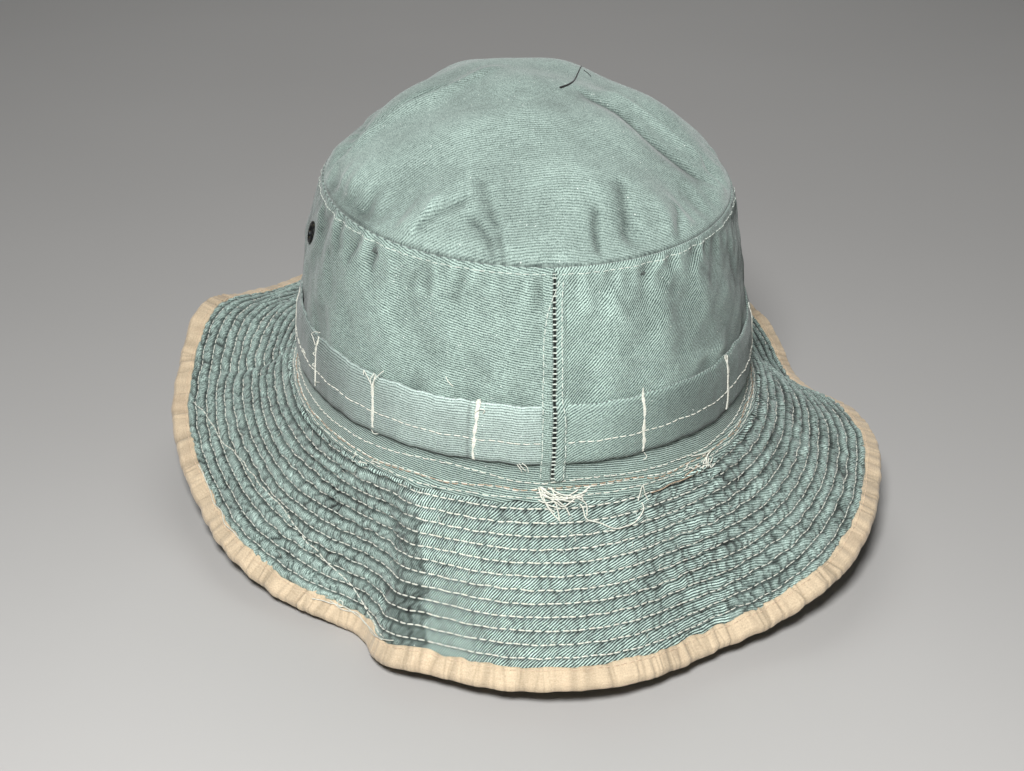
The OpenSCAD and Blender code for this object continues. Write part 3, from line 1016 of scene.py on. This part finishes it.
def make_band(name, node, start, end, material):
    b = np.linspace(start, end, 561)
    z = np.linspace(band_low[2], band_high[2], 26)
    rolled = -0.3 * np.abs((z - z.mean()) / (z[-1] - z.mean())) ** 14
    outer = band_surface(b[:, None], z, rolled)
    inner = band_surface(b[:, None], z, -PLY)
    level = (z - z[0]) / (z[-1] - z[0])
    # Painted highlight along the band's top edge, painted shadow along its bottom edge, painted shade
    # towards the sides, and a painted shadow line beside the fold at the tack.
    edge = 0.5 * smooth_step(0.93, 0.99, level) - 0.7 * smooth_step(0.12, 0.0, level)
    painted_side_shade = 0.95 * smooth_step(12, 52, np.abs(b + 14))[:, None]
    fold = 0.6 * bump(b + 18.1, 0.4)[:, None]
    piece = shell(name, outer, inner, material, side_uv(b, z), edge + 0.14 - painted_side_shade - fold, around=False)
    describe(piece, [node])


ZIG_PITCH = 0.46
# How much higher the top and the bottom of a tack lie than the edges of the band
TACK_ENDS = {-63: (0.0, 1.8), -41: (0.2, 1.5), -17: (1.2, 0.4), 20: (2.6, 0.6), 47: (0.4, 1.0)}


def make_bartacks():
    """Each tack is a bar of close zigzag stitches over the band."""
    draw = random.Random(17)
    groups = []
    for turn in TACK_TURNS:
        top, low = TACK_ENDS.get(turn, (0.3, 0.4))
        z = np.arange(band_low[2] + low, band_high[2] + top, ZIG_PITCH / 12)
        half = 0.3 if turn == -17 else draw.uniform(0.2, 0.28)
        uneven = 1 + 0.35 * wobble(z / 2, 0 * z, 200 + turn)
        tilt = 0.9 if turn == -17 else 0.45 * draw.uniform(-1, 1)
        lean = tilt * (z - z[0]) / (z[-1] - z[0]) + 0.1 * wobble(z / 5, 0 * z, 400 + turn)
        b = turn + half * uneven * np.sin(2 * np.pi * z / ZIG_PITCH) + lean
        lumpy = 0.19 * (1 + 0.22 * wobble(z / 0.9, 0 * z, 600 + turn))
        path = on_side(b, z, band_off(z) + 0.2)
        groups.append(rings_along(path, outward(float(turn), CROWN_RATIO), lumpy)[None])
    threads("bartack_threads", groups, ["bartacks"])


# Ends of thread at the bartacks: azimuth, height and distance off the band
BAND_ENDS = [
    [(-41.2, 24, 0.5), (-41.8, 26.5, 1.2), (-43.0, 28.0, 1.0), (-43.9, 28.6, 0.6), (-43.6, 27.4, 1.1)],
    [(-41.0, 24, 0.5), (-40.2, 27.5, 1.4), (-39.0, 30.2, 0.9), (-38.4, 31.2, 0.4)],
    [(-40.8, 23, 0.5), (-41.2, 27, 1.6), (-40.6, 29.6, 1.0)],
    [(-41.2, 8.5, 0.4), (-40.4, 7.9, 0.8), (-39.3, 8.2, 0.5)],
    [(-63.2, 25, 0.5), (-64.2, 27.4, 1.0), (-64.6, 28.4, 1.2), (-63.0, 30.2, 1.0), (-61.2, 31, 0.4)],
    [(-63.1, 22.5, 0.4), (-63.6, 21.8, 0.9), (-63.1, 21, 0.4)],
    [(-63.1, 18.4, 0.4), (-63.6, 17.6, 0.9), (-63.1, 16.8, 0.4)],
    [(-7.2, 8.4, 0.4), (-6.6, 7.4, 1.0), (-5.8, 5.6, 0.2)],
    [(-6.6, 8.6, 0.4), (-5.6, 7.6, 1.0), (-5.2, 5.2, 0.2)],
    [(-7.6, 8.0, 0.4), (-6.8, 6.4, 0.8), (-6.6, 5.2, 0.2)],
    [(-63.0, 12, 0.5), (-62.0, 12.2, 0.9), (-60.5, 13, 0.4)],
    [(-70.6, 16.2, 0.4), (-71.2, 17.4, 1.0), (-70.2, 18.4, 1.1), (-69.2, 17.6, 0.8), (-69.6, 16.4, 0.4)],
    [(-23.8, 34.5, -1.0), (-23.0, 33.2, -0.6), (-22.0, 31.8, -1.0)],
    [(-16.6, 25, 0.5), (-15.6, 26.6, 1.0), (-14.6, 26.2, 0.8), (-15.0, 25.0, 0.5)],
    [(20.1, 8, 0.4), (20.6, 6.4, 0.8), (20.0, 5.4, 0.4)],
    [(46.8, 25, 0.5), (46.2, 27.4, 1.0), (46.9, 28.8, 0.4)],
]


def make_band_ends():
    groups = []
    for points in BAND_ENDS:
        b, z, off = smooth_path(points, 36).T
        centres = on_side(b, z, 2 * PITCH + off)
        groups.append(rings_along(centres, outward(b, CROWN_RATIO), 0.14)[None])
    threads("bartack_ends", groups)


def make_band_threads():
    level = band_low[2] + 0.39 * (band_high[2] - band_low[2])
    rows = [row_on(band_surface, np.linspace(start, end, 900), level, seed, radius=0.19)
            for start, end, seed in ((-179, -2.8, 95), (2.8, 179, 96))]
    threads("band_threads", rows, ["band_stitching"])


# ---- Base strip ----

STRIP_CORNER = (1.2, -1.8)
# Azimuth, and place on the strip: height up the crown side, or distance down the brim below 0
STRIP_ROW_HIGH = [(-180, 2), (-60, 2), (-39, 2.6), (-30, 4.1), (-22, 4.7), (-15, 3.4), (-7, 1.2), (-2, 0.6),
                  (1.5, 1.6), (10, 1.7), (20, 0.6), (30, 0), (37, -1.1), (60, 0.5), (180, 2)]
STRIP_ROW_MIDDLE = [(-180, -2.6), (-39, -2.8), (-31, -2.4), (-22, -2.2), (-15, -1.5), (-7, -2.2), (5, -1.5),
                    (10, -1.4), (20, -1.8), (29, -3.7), (37, -3.7), (60, -3), (180, -2.6)]
STRIP_ROW_LOW = [(-180, -4.6), (-45, -4.9), (-29, -5.4), (-17, -4.6), (-9, -4.9), (0, -4.4), (10, -4.7),
                 (20, -4.7), (35, -5.4), (60, -4.8), (180, -4.6)]
STRIP_EDGE = [(-180, 6), (-50, 6.4), (-13, 7.0), (-8, 6.3), (-2, 5.9), (9, 6.7), (20, 7.7), (33, 8.2),
              (60, 6.6), (180, 6)]


def on_strip(b, s, off=0.0):
    """Point on the base strip, where s is a height on the crown side or, below 0, a distance down
    the brim, with a straight step across the corner."""
    b, s, off = together(b, s, off)
    top, low = STRIP_CORNER
    sway = 0.12 * wobble(b / 3, s / 3, 97)
    up = on_side(b, np.maximum(s, top), PITCH + 0.1 + off)
    down = brim_at(b, np.maximum(-s, -low), PITCH + sway + off)
    share = np.clip((s - low) / (top - low), 0, 1)[..., None]
    return share * up + (1 - share) * down


def strip_row(points, seed, waver=0.0, **settings):
    b = turns_around(2400)
    s = np.interp(b, *zip(*points)) + 0.16 * wobble(b / 6, 0 * b, seed)
    return row_on(on_strip, b, s + waver * wobble(b / 9, 0 * b, seed + 7), seed, **settings)


def make_base_strip():
    b = turns_around(900)[:, None]
    edge = np.interp(b, *zip(*STRIP_EDGE)) + 0.35 * wobble(b / 5, 0.0, 98)
    top, low = STRIP_CORNER
    up = np.linspace(16, top, 12)[None, :] + 0 * b
    down = low - np.linspace(0, 1, 10)[None, :] * (edge + low)
    s = np.concatenate([up, down], 1)
    uv = np.stack(np.broadcast_arrays(arc_at(b, 0.0), s), -1)
    # Painted shadow under the loop band and painted shade along the corner where the strip turns onto the
    # brim.
    painted_shading_and_wear = 0.12 - smooth_step(4.5, 8.0, s) - 0.35 * bump(s + 0.3, 1.2)
    piece = shell("base_strip_cloth", on_strip(b, s), on_strip(b, s, -PLY), twill_base, uv, painted_shading_and_wear)
    describe(piece, ["base_strip"])
    rows = [strip_row(STRIP_ROW_HIGH, 101, loose=0.4, radius=0.18),
            strip_row(STRIP_ROW_MIDDLE, 102, waver=0.25, radius=0.2),
            strip_row(STRIP_ROW_LOW, 103, radius=0.17)]
    threads("base_threads", rows, ["base_stitching"])
    doubled = strip_row(STRIP_ROW_MIDDLE, 104, waver=0.35, radius=0.18, loose=0.3)
    threads("base_threads_brown", [doubled], (), brown_thread)


# ---- Brim ----

# Line of quilting that ran off across the other rows on the left: azimuth and distance down
RUN_OFF = [(-103, 59), (-97, 52), (-90, 48), (-84, 44), (-67, 41), (-59, 44), (-48, 50), (-44, 53),
           (-39, 58), (-33, 59.5), (-29.5, 60)]
BRIM_MM_PER_DEGREE = 2.4     # where the line runs


def by_run_off(b, m, width):
    """How near a point lies to that line, from 0 to 1."""
    line = np.array(RUN_OFF) * (BRIM_MM_PER_DEGREE, 1)
    return crease(BRIM_MM_PER_DEGREE * b, m, line, 1, width, taper=0.03)


def make_brim_top():
    b = turns_around(1680)[:, None]
    steps = [np.array([0.3, 1.5, 3.0, 4.5])]
    for low, high in zip(CHANNELS, CHANNELS[1:]):
        t = np.arange(8) / 8
        steps.append(low + (high - low) * (0.5 - 0.5 * np.cos(np.pi * t)) * 0.5 + (high - low) * 0.5 * t)
    steps.append(np.array([CHANNELS[-1], CHANNELS[-1] + 2, PLY_EDGE]))
    m = np.concatenate(steps)[None, :]
    outer = brim_at(b, m, puff(b, m) * (1 - 0.75 * by_run_off(b, m, 1.3)))
    inner = brim_at(b, m, -PLY)
    # Painted shade and painted highlight of the quilting, darker patches, and a painted highlight along the
    # line that ran off, with painted shade beside it.
    painted_shading_and_wear = np.clip(painted_groove_shade(b, m) - 0.8 * darker_patches(b, m), -1.3, 0.6)
    painted_shading_and_wear = painted_shading_and_wear + 0.5 * by_run_off(b, m, 0.6) - 0.45 * by_run_off(b, m, 1.7)
    faded = 0.3 + 0.7 * np.maximum(smooth_step(-30, -38, b), 0.95 * smooth_step(8, 52, b))
    soft = np.clip(rumple(b) * faded + 1.2 * darker_patches(b, m), 0, 1) * smooth_step(2, 12, m)
    piece = shell("brim_top_ply", outer, inner, twill_brim, flat_uv(b, m), painted_shading_and_wear, soft=soft)
    describe(piece, ["brim_top"])


def make_brim_plies():
    b = turns_around(480)[:, None]
    m = np.linspace(0.3, PLY_EDGE, 40)[None, :]
    upper, lower = brim_at(b, m, -PITCH), brim_at(b, m, -PITCH - PLY)
    piece = shell("brim_interlining_ply", upper, lower, canvas, flat_uv(b, m))
    describe(piece, ["brim_interlining"])
    b = turns_around(960)[:, None]
    m = np.concatenate([np.linspace(0.3, FLANGE_W, 4)[:-1]]
                       + [np.linspace(low, high, 6)[:-1] for low, high in zip(CHANNELS, CHANNELS[1:])]
                       + [np.array([CHANNELS[-1], PLY_EDGE])])[None, :]
    lower = brim_at(b, m, UNDERSIDE - 0.8 * puff(b, m))
    upper = brim_at(b, m, -2 * PITCH)
    # The under ply gets the same painted shade and painted highlight of the quilting.
    piece = shell("brim_under_ply", lower, upper, twill_under, flat_uv(b, m), painted_groove_shade(b, m))
    describe(piece, ["brim_under"])


def brim_top_at(b, m):
    return brim_at(b, m, 0.05)


UNDERSIDE = -2 * PITCH - PLY


def brim_under_at(b, m):
    return brim_at(b, m, UNDERSIDE)


def make_brim_threads():
    rows = []
    under_rows = []
    b = turns_around(4200)
    for k, m in enumerate(CHANNELS[1:-1]):
        rows.append(row_on(brim_top_at, b, m, 110 + k, radius=0.29 - 0.12 * rumple(b), height=0.2))
        low = m + 0 * b
        under_rows.append(stitch_row(brim_under_at(b, low), -normals_of(brim_under_at, b, low), 140 + k))
    threads("brim_threads", rows, ["brim_stitching"])
    threads("brim_threads_below", under_rows)


# ---- Edge binding ----

def make_gathers():
    """Narrow creases across the binding: azimuth, half width, depth and slant."""
    draw = random.Random(31)
    ranges = ((-180, 180), (0.1, 0.26), (0.1, 0.42), (-0.1, 0.1))
    return [[draw.uniform(low, high) for low, high in ranges] for _ in range(300)]


GATHERS = make_gathers()


def gather(b, m):
    """Small radial puckers and creases of the binding."""
    height = 0.1 * wobble(b / 1.1, m / 14, 121) + 0.1 * wobble(b / 4.0, m / 20, 122)
    for turn, width, depth, slant in GATHERS:
        height = height - depth * bump(b - turn - slant * (m - BRIM_W), width)
    return np.maximum(height, -0.6)


TAPE_TOP = PITCH + 0.35
TAPE_LOW = -3 * PITCH - PLY - 0.25
TAPE_TURN = BRIM_W - 1.4     # where the tape begins to turn around the edge
EDGE_MM_PER_DEGREE = 2.55


def tape_surface(b, m):
    return brim_at(b, m, TAPE_TOP + gather(b, m))


def make_binding():
    b = turns_around(2160)[:, None]
    inner_m = BRIM_W - BINDING_W + 0.3 * wobble(b / 6, 0.0, 123) + 0.12 * wobble(b / 1.4, 0.0, 124)
    t = np.linspace(0, 1, 11)[None, :]
    top_m = inner_m + (TAPE_TURN - inner_m) * t
    edge_m = BRIM_W + np.array([-0.6, 0.0, 0.2, 0.0, -0.6])[None, :] + 0 * b
    low_m = TAPE_TURN + (BRIM_W - BINDING_W - 0.3 - TAPE_TURN) * t[:, ::2] + 0 * b
    top_lift = TAPE_TOP + gather(b, top_m) - 0.3 * (1 - t) ** 8
    edge_lift = np.interp(np.arange(1, 6), [0, 6], [TAPE_TOP, TAPE_LOW]) + gather(b, edge_m) * 0.4
    low_lift = TAPE_LOW - gather(b, 30 + low_m) * 0.7
    m = np.concatenate([top_m, edge_m, low_m], 1)
    bulge = 0.4 * gather(b, m) * (m > BRIM_W - 1)
    outer = brim_at(b, m + bulge, np.concatenate([top_lift, edge_lift, low_lift], 1))
    edge_lift = np.clip(edge_lift, TAPE_LOW + PLY, TAPE_TOP - PLY)
    inner_lift = np.concatenate([top_lift - PLY, edge_lift, low_lift + PLY], 1)
    inner = brim_at(b, np.minimum(m, BRIM_W - PLY), inner_lift)
    v = distance_along(outer[0])[None, :] + 0 * b
    uv = np.stack([EDGE_MM_PER_DEGREE * b + 0 * v, v], -1)
    # Painted shade in the binding's gathers.
    painted_shading_and_wear = np.clip(1.7 * gather(b, m) + 0.05, -0.9, 0.25)
    piece = shell("binding_tape", outer, inner, tape_cotton, uv, painted_shading_and_wear)
    describe(piece, ["edge_binding"])
    row = row_on(tape_surface, turns_around(4800), BRIM_W - BINDING_W + 1.3, 125, radius=0.17, height=0.08)
    threads("binding_threads", [row], (), tan_thread)


# ---- Inside ----

def make_sweatband():
    b = turns_around(480)
    z = sweat_low[2] + (sweat_high[2] - sweat_low[2]) * np.linspace(0, 1, 22)
    sway = 0.25 * wobble(b[:, None] / 6, z / 30, 131)
    piece = side_cloth("sweatband_cloth", twill_dark, b, z, -PITCH - 0.4, -2 * PITCH - 0.5 + sway)
    describe(piece, ["sweatband"])
    b = turns_around(2400)
    rows = [stitch_row(on_side(b, level, -2 * PITCH - 0.55), -outward(b, CROWN_RATIO), seed)
            for level, seed in ((z[0] + 2.0, 132), (z[-1] - 2.0, 133))]
    threads("sweatband_threads", rows)


# ---- Vent eyelets ----

def revolve_at_eyelets(name, profile, node):
    """Closed profile of radius and height, turned about the axis of every vent."""
    spin = 2 * np.pi * np.arange(56)[:, None] / 56
    vertices, quads = [], []
    for turn in EYELET_TURNS:
        centre = on_side(turn, EYELET_H)
        up = unit(on_side(turn, EYELET_H + 1) - on_side(turn, EYELET_H - 1))
        axis = outward(float(turn), CROWN_RATIO)
        axis = unit(axis - up * (axis @ up))
        ring = np.cos(spin) * np.cross(up, axis) + np.sin(spin) * up
        index = sum(map(len, vertices)) + np.arange(len(profile) * len(spin)).reshape(len(profile), -1)
        after, turned = np.roll(index, -1, 0), np.roll(index, -1, 1)
        quads.append(np.stack([index, turned, np.roll(after, -1, 1), after], -1).reshape(-1, 4))
        vertices.append(np.concatenate([centre + r * ring + h * axis for r, h in profile]))
    piece = new_object(name, np.concatenate(vertices), [np.concatenate(quads)], black_brass)
    describe(piece, [node])


def half_round(radius, height, wide, deep, count):
    """Half an oval of a profile, from its outer side to its inner side."""
    turns = np.linspace(0, math.pi, count)
    return [(radius + wide * math.cos(turn), height + deep * math.sin(turn)) for turn in turns]


def make_eyelets():
    barrel = [(HOLE_R, -1.6), (HOLE_R + 0.35, -1.6), (HOLE_R + 0.35, 0.25), (HOLE_R + 1.6, 0.25)]
    bead = half_round(HOLE_R + 0.85, 0.55, 0.85, 0.45, 12)
    revolve_at_eyelets("vent_eyelets", barrel + bead, "eyelet_barrels")
    washer = [(HOLE_R + 0.4, -1.3), (HOLE_R + 1.6, -1.3)]
    crimp = half_round(HOLE_R + 1.0, -1.55, 0.6, -0.4, 10)
    revolve_at_eyelets("vent_washers", washer + crimp, "eyelet_washers")


def seam_line(b, z):
    return on_side(b, z, side_relief(b, z))


def make_tip_threads():
    row = row_on(seam_line, turns_around(3000), TIP_SEAM - 2.4, 151, length=2.8, radius=0.15, height=0.08)
    threads("tip_threads", [row], ["tip_stitching"], pale_thread)


# ---- Loose threads and lint ----

def loose_thread(points, radius=0.19, count=40, ease=0):
    """Thread that lies on the brim: points are azimuth, distance down the slope and height. It is
    eased into a rounder curve by averaging over a number of steps."""
    share = np.ones(ease + 1) / (ease + 1)
    b, m, lift = (np.convolve(column, share, "valid") for column in smooth_path(points, count + ease).T)
    return rings_along(brim_at(b, m, lift), normals_of(brim_top_at, b, m), radius)[None]


# Azimuth, distance down the slope and height of the threads that hang from the back seam
TUFTS = [
    [(-3.4, 3, 1.4), (-2, 2.2, 2.6), (-0.2, 3.6, 2.2), (1.0, 3.4, 2.0), (3.2, 5.2, 1.6), (6.0, 5.0, 1.6),
     (6.4, 6.6, 1.2)],
    [(-3, 5.4, 1.4), (-1.6, 6.0, 2.4), (0.4, 5.8, 2.2), (2.2, 7.8, 1.6), (5.0, 4.8, 1.7), (8.2, 1.6, 1.3)],
    [(-2.6, 1.2, 1.4), (-1.6, 3.2, 2.4), (0.4, 6.0, 2.4), (1.0, 9, 1.6), (1.4, 12.2, 1.2)],
    [(-2.4, 0.8, 1.4), (-1.6, 1.6, 2.4), (1.4, 6.0, 2.6), (2.6, 8, 1.8), (3.6, 11.0, 1.2)],
    [(-1.8, 5.4, 1.6), (-1.2, 7.0, 2.2), (-0.4, 8.6, 1.6), (0.4, 9.6, 1.2)],
    [(-3, 1, 1.2), (-2.4, 4.0, 2.8), (-1.2, 6.6, 2.2), (0.8, 8.0, 1.5)],
    [(-1.0, 1, 1.6), (1.6, 3, 3.0), (4.4, 4.4, 2.2), (7.0, 7.4, 1.4), (7.2, 11.7, 1.2)],
    [(-0.4, 1, 1.2), (0.6, 4, 2.8), (2.4, 5.5, 2.2), (4.6, 6.4, 1.5)],
    [(-2.2, 2, 1.4), (-1.6, 6, 2.2), (-0.2, 9.6, 1.5), (1.5, 12.7, 1.2)],
    [(-3, 2.6, 1.6), (-0.8, 4.0, 3.0), (1.6, 4.2, 2.6), (4.0, 4.8, 2.2), (6.4, 4.6, 1.6)],
    [(-2.4, 3.6, 1.6), (-0.4, 4.6, 2.6), (2.0, 5.0, 2.6), (4.4, 4.2, 2.2), (7.4, 3.0, 1.5)],
    [(-2.8, 0.6, 1.8), (-0.6, 2.6, 3.2), (2.0, 4.4, 2.8), (3.8, 3.6, 1.8), (5.4, 2.4, 1.4)],
]
CURL = [(4.8, 6.6, 1.2), (6.4, 8.2, 1.4), (6.8, 13.0, 1.2), (9.4, 14.0, 1.3), (12.8, 17.4, 1.2),
        (16.8, 17.6, 1.2), (19.6, 14.8, 1.3), (20.2, 12.2, 1.5), (19.2, 8.6, 1.3)]
SPIKE = [(19, 9.7, 1.2), (19.5, 7, 1.6), (20, 4.5, 2.2), (20.6, 7.6, 1.8), (21.5, 11, 1.2)]
KNOT_RIGHT = [(34.2, 1.2, 1.3), (38.2, 2.6, 1.6), (40.6, 2.8, 1.8), (39.0, 4.2, 1.6), (38.4, 7.8, 1.3),
              (39.6, 5.2, 1.5)]
EDGE_LOOPS = [
    [(-49, 62.8, 1.9), (-47.4, 62.0, 2.0), (-45.8, 61.8, 2.1), (-44.6, 61.2, 2.1), (-43.5, 61.2, 2.3),
     (-43.3, 60.3, 2.4), (-43.6, 59.4, 2.4), (-44.1, 59.4, 2.4), (-44.3, 60.2, 2.4), (-44.0, 61.1, 2.4),
     (-42.7, 60.8, 2.1), (-40.4, 61.4, 2.0), (-37.9, 61.2, 1.9), (-34.6, 61.8, 1.9), (-31.6, 61.0, 1.9),
     (-29, 60.2, 1.8), (-27.4, 59.6, 1.7)],
    [(-46, 61.0, 1.8), (-43, 61.9, 2.0), (-40, 60.7, 1.9), (-37, 61.7, 1.9), (-33, 60.9, 1.8),
     (-30, 60.9, 1.7)],
    [(-88, 60.8, 1.7), (-84, 60.2, 1.9), (-80, 61.2, 1.9), (-76, 60.2, 1.8), (-72, 61.1, 1.8),
     (-68, 60.3, 1.7)],
]
# Azimuth, spread of the azimuth, and count of the small knots on the base strip
KNOTS = [(34, 3, 4), (41, 2.5, 4), (-47, 2.2, 3), (-42, 2.2, 3)]
BROWN = [[(22.4, 8.6, 1.2), (26.0, 8.2, 1.5), (29.4, 8.0, 1.3), (32.6, 8.2, 1.5), (35.8, 7.6, 1.2)],
         [(31.4, 7.4, 1.3), (34.0, 6.4, 1.5), (36.2, 5.2, 1.2)]]


def make_loose_threads():
    groups = [loose_thread(points, 0.22) for points in TUFTS + [KNOT_RIGHT]]
    groups += [loose_thread(CURL, 0.22, 90, 14), loose_thread(SPIKE)]
    groups += [loose_thread(points, 0.16, 160) for points in EDGE_LOOPS]
    draw = random.Random(23)
    for centre, spread, count in KNOTS:
        for _ in range(count):
            knot = [(centre + draw.uniform(-spread, spread), draw.uniform(3, 8), 1.1)]
            for _ in range(3):
                b, m, _height = knot[-1]
                knot.append((b + draw.uniform(-1.4, 1.4), m + draw.uniform(-1.2, 1.2),
                             draw.uniform(1.1, 1.9)))
            groups.append(loose_thread(knot))
    threads("loose_threads", groups)
    threads("brown_threads", [loose_thread(points) for points in BROWN], (), brown_thread)


# Plan points of the dark pulled thread near the top of the dome, and how thick it is along x
SCRATCH = [[(9, -16), (12.5, -11.5), (15, -6), (17.5, 4), (20, 16)], [(20.5, 11), (22, 9.5), (23, 8)]]
SCRATCH_X = [9, 15, 20, 23]
SCRATCH_RADIUS = [0.5, 0.32, 0.2, 0.12]


def make_scratch():
    groups = []
    for points in SCRATCH:
        x, y = smooth_path(points, 30).T
        turn = np.degrees(np.arctan2(x, -y / TIP_RATIO))
        rho = np.hypot(x, y / TIP_RATIO) / TIP_HALF
        path = on_dome(turn, rho, tip_relief(x, y)[0] + 0.05)
        groups.append(rings_along(path, (0.0, 0.0, 1.0), np.interp(x, SCRATCH_X, SCRATCH_RADIUS))[None])
    threads("tip_scratch", groups, (), black_thread)


def make_run_off_stitches():
    b, m = smooth_path(RUN_OFF, 700).T
    path = brim_at(b, m, puff(b, m) * 0.25 + 0.1)
    row = stitch_row(path, normals_of(brim_top_at, b, m), 161, length=2.6, radius=0.2)
    threads("run_off_threads", [row])


LINT_COUNT = 90


def make_lint():
    draw = random.Random(29)
    groups = []
    for _ in range(LINT_COUNT):
        b, m = draw.uniform(-170, 170), draw.uniform(8, 58)
        turn = draw.uniform(0, 2 * math.pi)
        fibre = []
        for _ in range(4):
            fibre.append((b, m, draw.uniform(0.7, 1.2)))
            turn += draw.uniform(-0.9, 0.9)
            b += 0.35 * math.cos(turn)
            m += 0.7 * math.sin(turn)
        groups.append(loose_thread(fibre, radius=0.06, count=9))
    threads("lint", groups)


make_crown_tip()
make_side_panel("side_panel_left_cloth", "side_panel_left", -179.95, -0.1, twill_left)
make_side_panel("side_panel_right_cloth", "side_panel_right", 0.1, 179.95, twill_right)
make_tip_tape()
make_back_seam()
make_seam_slot()
make_front_seam()
make_band("loop_band_left_cloth", "loop_band_left", -179.9, -2.2, twill_band_left)
make_band("loop_band_right_cloth", "loop_band_right", 2.2, 179.9, twill_band_right)
make_bartacks()
make_band_ends()
make_band_threads()
make_base_strip()
make_brim_top()
make_brim_plies()
make_brim_threads()
make_binding()
make_sweatband()
make_eyelets()
make_tip_threads()
make_run_off_stitches()
make_loose_threads()
make_scratch()
make_lint()


# ---- Floor, lights and size ----

def plain_material(name, colour):
    g = Graph(name)
    mottle = g.noise(g.place(), 3.0, 4.0)
    shade = g.mix(g.spread(mottle, 0.3, 0.7), colour, rgb(*(0.96 * c for c in colour[:3])))
    return g.finish(shade, mottle, 0.05, 0.9)


FLOOR_HALF = 6.0     # metres, as is all that stands around the hat


def make_floor(level):
    mesh = bpy.data.meshes.new("floor")
    corners = [(x * FLOOR_HALF, y * FLOOR_HALF, level) for x, y in ((-1, -1), (1, -1), (1, 1), (-1, 1))]
    mesh.from_pydata(corners, [], [(0, 1, 2, 3)])
    mesh.materials.append(plain_material("pale_floor", rgb(0.5, 0.49, 0.475)))
    floor = bpy.data.objects.new("floor", mesh)
    bpy.context.scene.collection.objects.link(floor)
    floor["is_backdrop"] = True


def make_light(name, place, aim, size, watts):
    data = bpy.data.lights.new(name, "AREA")
    data.shape = "DISK"
    data.size = size
    data.energy = watts
    lamp = bpy.data.objects.new(name, data)
    lamp.location = Vector(place)
    lamp.rotation_euler = (Vector(aim) - Vector(place)).to_track_quat("-Z", "Y").to_euler()
    bpy.context.scene.collection.objects.link(lamp)


def make_studio():
    make_light("key", (-0.11, -0.564, 0.482), (0, -0.02, 0.03), 0.14, 6.9)
    make_light("left_fill", (-1.1, -0.3, 0.6), (0, 0, 0), 0.9, 0.2)
    make_light("right_fill", (1.1, -0.2, 0.7), (0, 0, 0), 0.9, 0.2)
    make_light("back_fill", (0.1, 1.0, 1.1), (0, 0, 0.05), 1.0, 5.5)
    world = bpy.data.worlds.new("studio")
    bpy.context.scene.world = world
    world.use_nodes = True
    background = world.node_tree.nodes["Background"]
    background.inputs[0].default_value = rgb(0.9, 0.93, 0.95)
    background.inputs[1].default_value = 0.07
    bpy.context.scene.view_settings.view_transform = "Standard"


FLOOR_GAP = 0.0005     # metres below the lowest point
make_floor(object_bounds()[0][2] - FLOOR_GAP)
make_studio()
